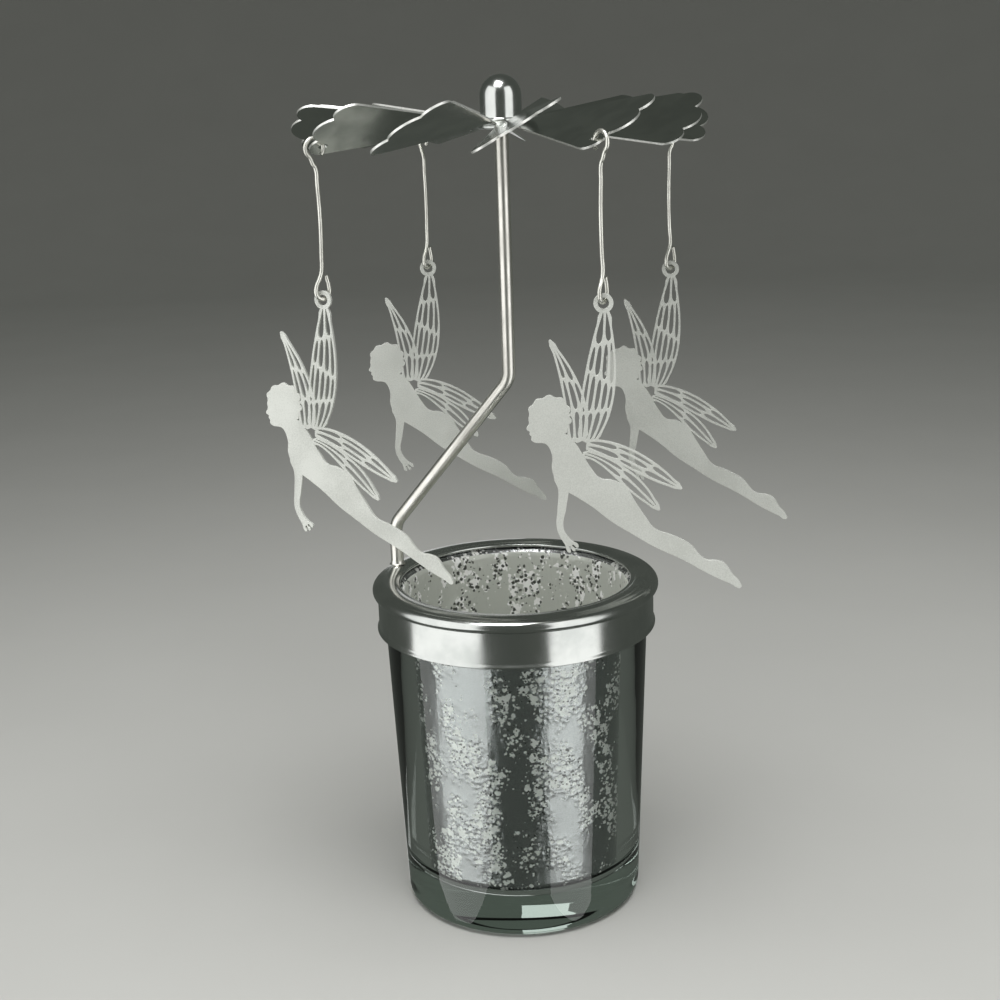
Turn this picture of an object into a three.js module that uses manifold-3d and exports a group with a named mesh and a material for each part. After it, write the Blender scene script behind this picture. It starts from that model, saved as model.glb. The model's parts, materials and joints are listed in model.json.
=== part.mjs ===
// Rotating candle holder: a tapered glass cup, a pressed collar that carries a bent post, and a
// bladed fan that turns on the post's needle point, with four fairies hung from its blades.
// Millimetres, +Z up. The origin is the centre of the cup's flat base.
import * as THREE from 'three';
import { mergeVertices, toCreasedNormals } from 'three/addons/utils/BufferGeometryUtils.js';
import Module from 'manifold-3d';

const wasm = await Module();
wasm.setup();

// Fits between pieces
const SEAT_GAP = 0.1; // where one piece rests on another
const LOOSE_GAP = 0.3; // where a piece swings, turns or lifts off

// Glass cup
const CUP_HEIGHT = 66.2;
const CUP_BASE_RADIUS = 24;
const CUP_RIM_RADIUS = 26.6;
const CUP_WALL = 4.2;
const CUP_FLOOR = 7.2; // height of the inside floor above the base
const CUP_HEEL = 2.6; // rounding between base and side
const CUP_CORNER = 4; // rounding between inside floor and wall

// Collar
const COLLAR_SHEET = 0.7;
const COLLAR_HEIGHT = 9.3;
const COLLAR_LEDGE = 3.9; // how far the top reaches in from the skirt
const COLLAR_CROWN = 0.35; // how far the top bulges up between hole and bead
const BEAD_HOLLOW = 0.55; // inside radius of the rolled bead
const BEAD_REACH = 1; // how far the bead stands out past the skirt
const LIP_REACH = 0.6;
const LIP_HEIGHT = 1.1;

// Post
const POST_RADIUS = 1.3;
const POST_LOWER_BEND = 8.6; // height of each bend above the collar
const POST_UPPER_BEND = 39.6;
const POST_BEND_RADIUS = 5;
const POST_AZIMUTH = 157; // degrees from +X, where the foot stands
const POST_INSET = 1.15; // from the middle of the bead in to the foot
const NEEDLE_LENGTH = 4;
const NEEDLE_POINT = 0.2; // radius of the blunted point
const WELD_RADIUS = 1.9;
const WELD_HEIGHT = 1.2;

// Pivot cap and its washer
const CAP_RADIUS = 3.9;
const CAP_HEIGHT = 8.5;
const CAP_CROWN = 2.8; // metal above the end of the bore
const CAP_BORE_PLAY = 0.6; // between the post and the bore
const CAP_FLANGE = 0.45; // how far the flange stands out
const CAP_FLANGE_HEIGHT = 0.6;
const SPIGOT_WALL = 0.8;
const WASHER_WIDTH = 1.7;
const WASHER_HEIGHT = 0.7;

// Fan
const BLADE_COUNT = 12;
const BLADE_AZIMUTH = 3.5; // degrees from +X, first blade
const BLADE_PITCH = 29; // degrees
const BLADE_REACH = 38.9; // axis to the tip of the middle lobe
const BLADE_WIDTH = 17.2;
const BLADE_SHEET = 0.4;
const MIDDLE_LOBE = 4.2; // radius
const SIDE_LOBE = 3; // radius
const SIDE_LOBE_SETBACK = 1.5; // how far the side lobes fall short of the middle one
const SIDE_LOBE_OFFSET = 5.6; // across the blade, from its middle
const HUB_MARGIN = 0.7; // how far the hub shows past the washer
const NECK_WIDTH = 2.2;
const TWIST_LENGTH = 4; // from the hub to where a blade has its full pitch

// Hangers
const HANGER_COUNT = 4;
const WIRE_RADIUS = 0.4;
const HANGER_LENGTH = 26.6; // eye's centre to the bottom of the loop
const HOLE_RADIUS = 0.85;
const HOLE_LAND = 1.6; // sheet between the hole and the lobe's edge
const LOOP_HEIGHT = 2.5; // top of the loop to the middle of its round end
const LOOP_SKEW = 25; // degrees that the loop is turned off square to its plate
const SHANK_BOW = 0.35;

// Fairies: plates that hang by a ring
const FIGURE_HEIGHT = 51.5; // ring's centre to the toes
const TOE_CLEARANCE = 7.1; // collar's top to the lowest toe
const PLATE_THICKNESS = 0.6;
const RING_PLAY = 0.55; // between the wire and the ring's hole
const RING_RIM = 0.75;
const VEIN_WIDTH = 0.62;
const LEAST_CELL = 0.35; // narrowest cut-out between two veins
const PLATE_TURNS = [-24, 0, -12, 0]; // degrees about +Z from facing the front

const FINISHES = {
  glass: { color: 0xdfe8e2, roughness: 0.05, metalness: 0 },
  plated: { color: 0xdadbd6, roughness: 0.08, metalness: 1 },
  sheet: { color: 0xb9bbb6, roughness: 0.16, metalness: 1 },
  wire: { color: 0xcfd0c8, roughness: 0.2, metalness: 1 },
  etched: { color: 0xa5a8a0, roughness: 0.5, metalness: 1 },
};

const radians = THREE.MathUtils.degToRad;

function signedVolume(points, triangles) {
  const corner = [new THREE.Vector3(), new THREE.Vector3(), new THREE.Vector3()];
  let volume = 0;
  for (let i = 0; i < triangles.length; i += 3) {
    corner.forEach((vector, k) => vector.fromArray(points, triangles[i + k] * 3));
    volume += corner[0].dot(corner[1].cross(corner[2])) / 6;
  }
  return volume;
}

// A closed solid from a geometry: shared vertices merged, collapsed triangles dropped, faces out.
function toSolid(geometry) {
  const bare = geometry.clone();
  bare.deleteAttribute('normal');
  bare.deleteAttribute('uv');
  const merged = mergeVertices(bare);
  const points = merged.attributes.position.array;
  const triangles = [];
  for (let i = 0; i < merged.index.count; i += 3) {
    const [a, b, c] = [0, 1, 2].map((k) => merged.index.getX(i + k));
    if (a !== b && b !== c && c !== a) triangles.push(a, b, c);
  }
  if (signedVolume(points, triangles) < 0) triangles.reverse();
  const mesh = new wasm.Mesh({
    numProp: 3,
    vertProperties: new Float32Array(points),
    triVerts: new Uint32Array(triangles),
  });
  return new wasm.Manifold(mesh);
}

function toGeometry(solid) {
  const { vertProperties, triVerts } = solid.getMesh();
  const geometry = new THREE.BufferGeometry();
  geometry.setAttribute('position', new THREE.BufferAttribute(vertProperties, 3));
  geometry.setIndex(new THREE.BufferAttribute(triVerts, 1));
  return toCreasedNormals(geometry, radians(30));
}

function joined(solids) {
  return solids.reduce((whole, solid) => whole.add(solid));
}

function makeMesh(name, solid, finish) {
  const mesh = new THREE.Mesh(toGeometry(solid), new THREE.MeshStandardMaterial(FINISHES[finish]));
  mesh.name = name;
  return mesh;
}

// A solid turned about +Z from a profile of radius and height.
function turned(path, segments, arcSteps) {
  const profile = path.getPoints(arcSteps);
  const geometry = new THREE.LatheGeometry(profile, segments);
  return toSolid(geometry.rotateX(Math.PI / 2));
}

// A path through given points, where each step of a sweep lands on one point.
class Route extends THREE.Curve {
  constructor(points) {
    super();
    this.points = points;
  }

  getPoint(t) {
    const place = t * (this.points.length - 1);
    const index = Math.min(Math.floor(place), this.points.length - 2);
    return this.points[index].clone().lerp(this.points[index + 1], place - index);
  }

  getPointAt(u) {
    return this.getPoint(u);
  }

  getTangentAt(u) {
    return this.getTangent(u);
  }
}

// A round rod or wire swept along points.
function rod(points, radius, sides) {
  const corners = Array.from({ length: sides }, (_, k) => {
    const angle = (2 * Math.PI * k) / sides;
    return new THREE.Vector2(radius * Math.cos(angle), radius * Math.sin(angle));
  });
  const sweep = { extrudePath: new Route(points), steps: points.length - 1, bevelEnabled: false };
  return toSolid(new THREE.ExtrudeGeometry(new THREE.Shape(corners), sweep));
}

// Straight runs through corners, with each inner corner rounded to a radius.
function roundedRoute(corners, radius, bendSteps) {
  const points = [corners[0]];
  for (let i = 1; i < corners.length - 1; i++) {
    const before = corners[i - 1].clone().sub(corners[i]).normalize();
    const after = corners[i + 1].clone().sub(corners[i]).normalize();
    const setback = radius / Math.tan(before.angleTo(after) / 2);
    const start = corners[i].clone().addScaledVector(before, setback);
    const end = corners[i].clone().addScaledVector(after, setback);
    points.push(...new THREE.QuadraticBezierCurve3(start, corners[i], end).getPoints(bendSteps));
  }
  points.push(corners[corners.length - 1]);
  return points;
}

// Glass cup, open at the top
function cupSolid() {
  const slope = (CUP_RIM_RADIUS - CUP_BASE_RADIUS) / CUP_HEIGHT;
  const outside = (z) => CUP_BASE_RADIUS + slope * z;
  const inside = (z) => outside(z) - CUP_WALL;
  const rimRound = CUP_WALL / 2;
  const rimStart = CUP_HEIGHT - rimRound;
  const cornerTop = CUP_FLOOR + CUP_CORNER;
  const path = new THREE.Path();
  path.moveTo(0, 0);
  path.lineTo(outside(0) - CUP_HEEL, 0);
  path.quadraticCurveTo(outside(0), 0, outside(CUP_HEEL), CUP_HEEL);
  path.lineTo(outside(rimStart), rimStart);
  path.absarc(outside(rimStart) - rimRound, rimStart, rimRound, 0, Math.PI, false);
  path.lineTo(inside(cornerTop), cornerTop);
  path.quadraticCurveTo(inside(CUP_FLOOR), CUP_FLOOR, inside(CUP_FLOOR) - CUP_CORNER, CUP_FLOOR);
  path.lineTo(0, CUP_FLOOR);
  return turned(path, 44, 3);
}

// Collar: the skirt clears the cup's rim, and the top rests on it
const skirtInside = CUP_RIM_RADIUS + LOOSE_GAP;
const skirtOutside = skirtInside + COLLAR_SHEET;
const collarHole = skirtInside - COLLAR_LEDGE;
const collarTop = CUP_HEIGHT + SEAT_GAP + COLLAR_SHEET;
const beadRadius = BEAD_HOLLOW + COLLAR_SHEET;
const beadCentre = skirtOutside + BEAD_REACH - beadRadius;

function collarSolid() {
  const foot = collarTop - COLLAR_HEIGHT;
  const beadHeight = collarTop - beadRadius;
  const crease = Math.acos((skirtOutside - beadCentre) / beadRadius);
  const middle = (collarHole + beadCentre) / 2;
  const underside = collarTop - COLLAR_SHEET;
  const path = new THREE.Path();
  path.moveTo(collarHole, underside);
  path.lineTo(collarHole, collarTop - COLLAR_SHEET / 2);
  path.lineTo(collarHole + COLLAR_SHEET / 2, collarTop);
  path.quadraticCurveTo(middle, collarTop + 2 * COLLAR_CROWN, beadCentre, collarTop);
  path.absarc(beadCentre, beadHeight, beadRadius, Math.PI / 2, -crease, true);
  path.lineTo(skirtOutside, foot + LIP_HEIGHT);
  path.lineTo(skirtOutside + LIP_REACH, foot + COLLAR_SHEET / 2);
  path.lineTo(skirtOutside + LIP_REACH, foot);
  path.lineTo(skirtInside + LIP_REACH, foot);
  path.lineTo(skirtInside, foot + LIP_HEIGHT);
  path.lineTo(skirtInside, beadHeight - BEAD_HOLLOW);
  path.lineTo(beadCentre, beadHeight - BEAD_HOLLOW);
  path.absarc(beadCentre, beadHeight, BEAD_HOLLOW, -Math.PI / 2, Math.PI / 2, false);
  path.lineTo(collarHole, underside);
  return turned(path, 44, 3);
}

// Radii about the fan's axis: post, cap's bore, cap's spigot, washer and hub
const capBore = POST_RADIUS + CAP_BORE_PLAY;
const capSpigot = capBore + SPIGOT_WALL;
const spigotHole = capSpigot + SEAT_GAP;
const washerEdge = spigotHole + WASHER_WIDTH;
const hubRadius = washerEdge + HUB_MARGIN;

// Fan: each blade is a sheet with three round lobes at its end, twisted at its neck
const LOBES = [
  { across: -SIDE_LOBE_OFFSET, radius: SIDE_LOBE, reach: BLADE_REACH - SIDE_LOBE_SETBACK },
  { across: 0, radius: MIDDLE_LOBE, reach: BLADE_REACH },
  { across: SIDE_LOBE_OFFSET, radius: SIDE_LOBE, reach: BLADE_REACH - SIDE_LOBE_SETBACK },
];

// How far the blade's end lies from the axis, at a distance across the blade.
function bladeEnd(across) {
  const heights = LOBES.map((lobe) => {
    const offset = Math.min(Math.abs(across - lobe.across), lobe.radius);
    return lobe.reach - lobe.radius + Math.sqrt(lobe.radius ** 2 - offset ** 2);
  });
  return Math.max(...heights);
}

// A closed sheet over a grid of middle points, with its thickness along z before it is twisted.
function sheetSolid(columns, rows, thickness, place) {
  const points = [];
  const index = (column, row, side) => (row * columns + column) * 2 + side;
  for (let row = 0; row < rows; row++) {
    for (let column = 0; column < columns; column++) {
      points.push(...place(column, row, -thickness / 2), ...place(column, row, thickness / 2));
    }
  }
  const triangles = [];
  const quad = (a, b, c, d) => triangles.push(a, b, c, a, c, d);
  const edge = (c0, r0, c1, r1) => {
    quad(index(c0, r0, 0), index(c1, r1, 0), index(c1, r1, 1), index(c0, r0, 1));
  };
  for (let row = 0; row < rows - 1; row++) {
    for (let column = 0; column < columns - 1; column++) {
      const ring = [[column, row], [column + 1, row], [column + 1, row + 1], [column, row + 1]];
      quad(...ring.map(([c, r]) => index(c, r, 1)));
      quad(...ring.reverse().map(([c, r]) => index(c, r, 0)));
    }
    edge(columns - 1, row, columns - 1, row + 1);
    edge(0, row + 1, 0, row);
  }
  for (let column = 0; column < columns - 1; column++) {
    edge(column, 0, column + 1, 0);
    edge(column + 1, rows - 1, column, rows - 1);
  }
  const geometry = new THREE.BufferGeometry();
  geometry.setAttribute('position', new THREE.Float32BufferAttribute(points, 3));
  geometry.setIndex(triangles);
  return toSolid(geometry);
}

// Where the outlines of the middle and side lobes cross, across the blade.
function notchOffset() {
  const middle = BLADE_REACH - MIDDLE_LOBE;
  const side = BLADE_REACH - SIDE_LOBE_SETBACK - SIDE_LOBE;
  const apart = Math.hypot(SIDE_LOBE_OFFSET, side - middle);
  const along = (apart ** 2 + MIDDLE_LOBE ** 2 - SIDE_LOBE ** 2) / (2 * apart);
  const rise = Math.sqrt(MIDDLE_LOBE ** 2 - along ** 2);
  return (along * SIDE_LOBE_OFFSET - rise * (side - middle)) / apart;
}

function bladeSolid() {
  const half = BLADE_WIDTH / 2;
  const notch = notchOffset();
  const lobeEdge = (SIDE_LOBE_OFFSET + half) / 2;
  const spread = [notch / 2, notch, (notch + SIDE_LOBE_OFFSET) / 2, lobeEdge, half];
  const columns = [...spread.map((v) => -v).reverse(), 0, ...spread];
  const twistEnd = hubRadius + TWIST_LENGTH;
  const shoulder = bladeEnd(half);
  const stations = [hubRadius - NECK_WIDTH / 2, hubRadius + TWIST_LENGTH / 2, twistEnd];
  const widthAt = (u) => {
    const share = THREE.MathUtils.clamp((u - hubRadius) / (shoulder - hubRadius), 0, 1);
    return THREE.MathUtils.lerp(NECK_WIDTH, BLADE_WIDTH, share) / BLADE_WIDTH;
  };
  return sheetSolid(columns.length, stations.length + 1, BLADE_SHEET, (column, row, lift) => {
    const across = columns[column];
    const u = row < stations.length ? stations[row] : bladeEnd(across);
    const v = row < stations.length ? across * widthAt(u) : across;
    const turn = radians(BLADE_PITCH) * THREE.MathUtils.smoothstep(u, hubRadius, twistEnd);
    const y = v * Math.cos(turn) - lift * Math.sin(turn);
    return [u, y, v * Math.sin(turn) + lift * Math.cos(turn)];
  });
}

// The hanger's hole is in the low side lobe, a land in from its edge
const pitch = radians(BLADE_PITCH);
const holeAcross = -SIDE_LOBE_OFFSET;
const holeReach = bladeEnd(holeAcross) - HOLE_LAND - HOLE_RADIUS;
const bladeStep = Math.floor(BLADE_COUNT / HANGER_COUNT);
const firstHangerBlade = 1;
const bladeAzimuth = (blade) => radians(BLADE_AZIMUTH) + (2 * Math.PI * blade) / BLADE_COUNT;
const hangerBlade = (n) => firstHangerBlade + bladeStep * ((n + 2) % HANGER_COUNT);

function fanSolid() {
  const hubProfile = new THREE.Path();
  hubProfile.moveTo(spigotHole, BLADE_SHEET / 2);
  hubProfile.lineTo(spigotHole, -BLADE_SHEET / 2);
  hubProfile.lineTo(hubRadius, -BLADE_SHEET / 2);
  hubProfile.lineTo(hubRadius, BLADE_SHEET / 2);
  hubProfile.lineTo(spigotHole, BLADE_SHEET / 2);
  const degrees = (angle) => THREE.MathUtils.radToDeg(angle);
  const blade = bladeSolid();
  const turnedBlades = Array.from({ length: BLADE_COUNT }, (_, k) => {
    return blade.rotate([0, 0, degrees(bladeAzimuth(k))]);
  });
  const punch = new THREE.CylinderGeometry(HOLE_RADIUS, HOLE_RADIUS, 4 * BLADE_SHEET, 12);
  punch.rotateX(Math.PI / 2 + pitch);
  punch.translate(holeReach, holeAcross * Math.cos(pitch), holeAcross * Math.sin(pitch));
  const punchSolid = toSolid(punch);
  let fan = joined([turned(hubProfile, 24, 1), ...turnedBlades]);
  for (let n = 0; n < HANGER_COUNT; n++) {
    fan = fan.subtract(punchSolid.rotate([0, 0, degrees(bladeAzimuth(hangerBlade(n)))]));
  }
  return fan;
}

// Hanger: its eye's centre is at the origin, +X points out along the blade and +Z up. The eye hangs
// on the land of the blade, with room for the pitched sheet under the wire.
const eyePlay = 2 * LOOSE_GAP;
const eyeLift = (WIRE_RADIUS + BLADE_SHEET / 2 + eyePlay) / Math.cos(pitch);
const eyeHalfSpan = (HOLE_RADIUS + HOLE_LAND + eyePlay + WIRE_RADIUS) / 2;
const eyeRadius = (eyeLift ** 2 + eyeHalfSpan ** 2) / (2 * eyeLift);
const eyeDrop = eyeRadius - eyeLift;
const eyeReach = holeReach + eyeHalfSpan;

// The loop's round end holds the rim of a plate's ring, which crosses it at the skew
const loopSkew = radians(LOOP_SKEW);
const rimHalf = (PLATE_THICKNESS / 2 + WIRE_RADIUS * Math.sin(loopSkew)) / Math.cos(loopSkew);
const loopInside = rimHalf + LOOSE_GAP;
const loopRadius = loopInside + WIRE_RADIUS;
const rimRise = loopInside - Math.sqrt((loopInside - LOOSE_GAP / 2) ** 2 - rimHalf ** 2);

function hangerSolid(loopTurn) {
  const eyeStart = radians(222);
  const eyeEnd = radians(-55);
  const eyeSteps = 14;
  const points = [];
  for (let k = 0; k <= eyeSteps; k++) {
    const angle = THREE.MathUtils.lerp(eyeStart, eyeEnd, k / eyeSteps);
    points.push(new THREE.Vector3(eyeRadius * Math.cos(angle), 0, eyeRadius * Math.sin(angle)));
  }
  const shankTop = -eyeRadius - 4 * WIRE_RADIUS;
  const loopMiddle = loopRadius - HANGER_LENGTH;
  const loopTop = loopMiddle + LOOP_HEIGHT;
  const shankSteps = 6;
  points.push(new THREE.Vector3(WIRE_RADIUS, 0, (shankTop - eyeRadius) / 2 - WIRE_RADIUS / 2));
  for (let k = 0; k <= shankSteps; k++) {
    const share = k / shankSteps;
    const bow = -SHANK_BOW * Math.sin(Math.PI * share);
    points.push(new THREE.Vector3(bow, 0, THREE.MathUtils.lerp(shankTop, loopTop, share)));
  }
  const across = new THREE.Vector3(Math.cos(loopTurn), Math.sin(loopTurn), 0);
  const loopPoint = (w, z) => across.clone().multiplyScalar(w).setZ(z);
  points.push(loopPoint(-loopRadius / 3, loopTop - LOOP_HEIGHT / 3));
  points.push(loopPoint(-loopRadius * 0.85, loopTop - LOOP_HEIGHT * 0.7));
  const bottomSteps = 8;
  for (let k = 0; k <= bottomSteps; k++) {
    const angle = Math.PI + (Math.PI * k) / bottomSteps;
    points.push(loopPoint(loopRadius * Math.cos(angle), loopMiddle + loopRadius * Math.sin(angle)));
  }
  points.push(loopPoint(loopRadius * 0.95, loopTop - LOOP_HEIGHT * 0.7));
  points.push(loopPoint(loopRadius * 0.75, loopTop - LOOP_HEIGHT * 0.4));
  return rod(points, WIRE_RADIUS, 6);
}

// Fairy: a flying figure drawn from its ring's centre, x towards the toes and y up, in hundredths of
// the figure's height
const ringHole = WIRE_RADIUS + RING_PLAY;

function plate(shape, thickness, curveSegments) {
  const options = { depth: thickness, bevelEnabled: false, curveSegments };
  const geometry = new THREE.ExtrudeGeometry(shape, options);
  geometry.translate(0, 0, -thickness / 2);
  return toSolid(geometry.rotateX(Math.PI / 2));
}

const drawn = FIGURE_HEIGHT / 100;
const vectors = (pairs) => pairs.map(([x, y]) => new THREE.Vector2(x * drawn, y * drawn));

// Each wing lies between a leading and a trailing edge, from root to tip. Its cut-outs are in
// strips between the edges.
const WINGS = [
  {
    lead: [[-8.9, -45.8], [-9.3, -33], [-5, -14.6], [-0.8, -2.3]],
    trail: [[-3.1, -46.4], [5.4, -35.9], [5, -18.4], [1.7, -2.3]],
    strips: 3, cells: 3,
  },
  {
    lead: [[-12.4, -45.8], [-13.2, -35.9], [-14.4, -24.3], [-18.6, -12.4]],
    trail: [[-6.6, -45.8], [-3.3, -34], [-9.7, -21.7], [-16.9, -11.8]],
    strips: 2, cells: 3,
  },
  {
    lead: [[-5, -45.8], [6.2, -46.2], [18.3, -54], [26, -63.3]],
    trail: [[-6.6, -49.3], [3.9, -52.8], [13.6, -61.7], [24.9, -64.5]],
    strips: 2, cells: 3,
  },
  {
    lead: [[-5.8, -49.7], [4.7, -53.2], [14.4, -60.2], [18.6, -70.5]],
    trail: [[-8.2, -51.7], [0.8, -53.6], [4.7, -64.5], [17.1, -71.7]],
    strips: 2, cells: 2,
  },
];

const BODY = [
  [-21.2, -45.2], [-19.2, -48], [-18.1, -51.7], [-18.3, -55.7], [-17.1, -59.6], [-14.6, -62.7],
  [-9.7, -66], [-4.7, -69.5], [1.9, -75], [8.9, -79.6], [15.9, -84.1], [26, -89.3], [36.1, -95.3],
  [42.7, -98.6], [46.2, -100], [46, -98.3], [43.3, -95], [40.4, -90.9], [37.7, -89.9],
  [34.2, -89.5], [28.3, -83.5], [22.1, -80.2], [16.7, -77.9], [13.2, -73.2], [9.7, -67.6],
  [6.6, -62.5], [2.3, -60.2], [-1.9, -59.4], [-5, -55.7], [-7.8, -50.9], [-10.5, -46.6], [-14.8, -43.1],
];

const HEAD = [
  [-15.3, -41.9], [-16.3, -44.3], [-18.6, -46.4], [-22.1, -46.4], [-24.5, -45.8], [-25.4, -44.5],
  [-25.6, -42.9], [-27, -41.4], [-25.8, -39.2], [-26, -36.7], [-24.3, -33.4], [-20.6, -30.9],
  [-16.3, -30.5], [-12.8, -32.6], [-11.7, -36.1], [-12.8, -39.6],
];

const ARM = [
  [-17.3, -57.5], [-16.3, -63.3], [-16.7, -69.9], [-17.1, -76.5], [-15.5, -80], [-13.2, -83.5],
  [-11.5, -84.3], [-11.3, -82.9], [-13.6, -79.2], [-14.8, -76.1], [-13.8, -69.9], [-12.6, -62.9],
  [-12, -57.1],
];

// A plate cut to an outline.
function figurePart(points) {
  return plate(new THREE.Shape(vectors(points)), PLATE_THICKNESS, 1);
}

// The shares of a wing's length between which each strip is wide enough for a cut-out.
function openRange(edges, strips) {
  const steps = 100;
  const shares = Array.from({ length: steps + 1 }, (_, k) => k / steps);
  const open = shares.filter((share) => {
    const [a, b] = edges.map((edge) => edge.getPoint(share));
    return a.distanceTo(b) / strips >= VEIN_WIDTH + LEAST_CELL;
  });
  return [Math.min(...open), Math.max(...open)];
}

function wingSolid({ lead, trail, strips, cells }) {
  const edges = [lead, trail].map((points) => new THREE.CubicBezierCurve(...vectors(points)));
  const edgeSteps = 8;
  const outline = [...edges[0].getPoints(edgeSteps), ...edges[1].getPoints(edgeSteps).reverse()];
  const [start, end] = openRange(edges, strips);
  const cellLength = (end - start) / cells;
  const halfVein = VEIN_WIDTH / 2 / edges[0].getLength();
  let wing = plate(new THREE.Shape(outline), PLATE_THICKNESS, 1);
  for (let strip = 0; strip < strips; strip++) {
    const staggered = strip % 2;
    for (let cell = 0; cell < cells + staggered; cell++) {
      const first = start + (cell - staggered / 2) * cellLength;
      const from = Math.max(first, start) + halfVein;
      const to = Math.min(first + cellLength, end) - halfVein;
      if (to > from) {
        const cut = cellShape(edges, strip / strips, (strip + 1) / strips, from, to);
        wing = wing.subtract(plate(cut, 2 * PLATE_THICKNESS, 1));
      }
    }
  }
  return wing;
}

// One cut-out: six corners between two shares of the wing's width, a half vein in from each side.
function cellShape([lead, trail], near, far, from, to) {
  const stations = [from, (from + to) / 2, to];
  const at = (share, side) => {
    const a = lead.getPoint(share);
    const b = trail.getPoint(share);
    const inset = VEIN_WIDTH / a.distanceTo(b);
    const low = near === 0 ? inset : inset / 2;
    const high = far === 1 ? inset : inset / 2;
    return a.lerp(b, side === 0 ? near + low : far - high);
  };
  return new THREE.Shape([
    ...stations.map((share) => at(share, 0)),
    ...stations.reverse().map((share) => at(share, 1)),
  ]);
}

function ringSolid() {
  const shape = new THREE.Shape();
  shape.absarc(0, 0, ringHole + RING_RIM, 0, 2 * Math.PI, false);
  const hole = new THREE.Path();
  hole.absarc(0, 0, ringHole, 0, 2 * Math.PI, true);
  shape.holes.push(hole);
  return plate(shape, PLATE_THICKNESS, 7);
}

// The angle that brings a plate's centre of mass under its ring.
function plumbAngle(solid) {
  const { vertProperties, triVerts } = solid.getMesh();
  const corner = [new THREE.Vector3(), new THREE.Vector3(), new THREE.Vector3()];
  const moment = new THREE.Vector3();
  for (let i = 0; i < triVerts.length; i += 3) {
    corner.forEach((vector, k) => vector.fromArray(vertProperties, triVerts[i + k] * 3));
    const sum = corner[0].clone().add(corner[1]).add(corner[2]);
    moment.addScaledVector(sum, corner[0].dot(corner[1].cross(corner[2])));
  }
  return Math.atan2(moment.x, -moment.z);
}

function fairySolid() {
  const openDisc = new THREE.Shape();
  openDisc.absarc(0, 0, ringHole, 0, 2 * Math.PI, false);
  const wings = WINGS.map(wingSolid);
  const figure = joined([...wings, figurePart(BODY), figurePart(HEAD), figurePart(ARM)]);
  const whole = figure.subtract(plate(openDisc, 2 * PLATE_THICKNESS, 7)).add(ringSolid());
  return whole.rotate([0, THREE.MathUtils.radToDeg(plumbAngle(whole)), 0]);
}

// Heights: the toes clear the collar, and the post is as tall as the hung fairies need
const fairy = fairySolid();
const figureDrop = -fairy.boundingBox().min[2];
const ringDrop = HANGER_LENGTH + ringHole - WIRE_RADIUS - rimRise;
const eyeBelowFan = eyeDrop - holeAcross * Math.sin(pitch);
const fanHeight = collarTop + TOE_CLEARANCE + figureDrop + ringDrop + eyeBelowFan;
const capSeat = fanHeight + BLADE_SHEET / 2 + SEAT_GAP;
const capTop = capSeat + CAP_HEIGHT;
const boreEnd = capTop - CAP_CROWN;
const needleTip = boreEnd - SEAT_GAP;

// Post: welded to the crown of the collar, cranked in to the axis
const postFoot = collarTop + COLLAR_CROWN + SEAT_GAP;

function postSolid() {
  const azimuth = radians(POST_AZIMUTH);
  const footRadius = beadCentre - POST_INSET;
  const footX = footRadius * Math.cos(azimuth);
  const footY = footRadius * Math.sin(azimuth);
  const corners = [
    new THREE.Vector3(footX, footY, postFoot),
    new THREE.Vector3(footX, footY, postFoot + POST_LOWER_BEND),
    new THREE.Vector3(0, 0, postFoot + POST_UPPER_BEND),
    new THREE.Vector3(0, 0, needleTip - NEEDLE_LENGTH),
  ];
  const shaft = rod(roundedRoute(corners, POST_BEND_RADIUS, 6), POST_RADIUS, 16);
  const overlap = POST_RADIUS;
  const needleProfile = new THREE.Path();
  needleProfile.moveTo(0, needleTip - NEEDLE_LENGTH - overlap);
  needleProfile.lineTo(POST_RADIUS, needleTip - NEEDLE_LENGTH - overlap);
  needleProfile.lineTo(POST_RADIUS, needleTip - NEEDLE_LENGTH);
  needleProfile.lineTo(NEEDLE_POINT, needleTip - NEEDLE_POINT);
  needleProfile.lineTo(0, needleTip);
  const weldProfile = new THREE.Path();
  weldProfile.moveTo(0, postFoot);
  weldProfile.lineTo(WELD_RADIUS, postFoot);
  weldProfile.quadraticCurveTo(POST_RADIUS, postFoot, POST_RADIUS, postFoot + WELD_HEIGHT);
  weldProfile.lineTo(0, postFoot + WELD_HEIGHT);
  const weld = turned(weldProfile, 16, 3).translate([footX, footY, 0]);
  return joined([shaft, turned(needleProfile, 16, 1), weld]);
}

// Pivot cap: its bore ends over the needle point, and its spigot passes through the fan's hub
const washerTop = fanHeight - BLADE_SHEET / 2 - SEAT_GAP;
const spigotEnd = washerTop - WASHER_HEIGHT - SEAT_GAP;

function capSolid() {
  const flangeRadius = CAP_RADIUS + CAP_FLANGE;
  const domeStart = capTop - CAP_RADIUS;
  const path = new THREE.Path();
  path.moveTo(0, boreEnd);
  path.lineTo(capBore, boreEnd - capBore);
  path.lineTo(capBore, spigotEnd);
  path.lineTo(capSpigot, spigotEnd);
  path.lineTo(capSpigot, capSeat);
  path.lineTo(flangeRadius, capSeat);
  path.lineTo(flangeRadius, capSeat + CAP_FLANGE_HEIGHT);
  path.lineTo(CAP_RADIUS, capSeat + CAP_FLANGE_HEIGHT);
  path.lineTo(CAP_RADIUS, domeStart);
  path.absarc(0, domeStart, CAP_RADIUS, 0, Math.PI / 2, false);
  return turned(path, 24, 4);
}

function washerSolid() {
  const path = new THREE.Path();
  path.moveTo(spigotHole, washerTop);
  path.lineTo(spigotHole, washerTop - WASHER_HEIGHT);
  path.lineTo(washerEdge - WASHER_HEIGHT / 2, washerTop - WASHER_HEIGHT);
  path.lineTo(washerEdge, washerTop - WASHER_HEIGHT / 2);
  path.lineTo(washerEdge, washerTop);
  path.lineTo(spigotHole, washerTop);
  return turned(path, 24, 1);
}

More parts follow.
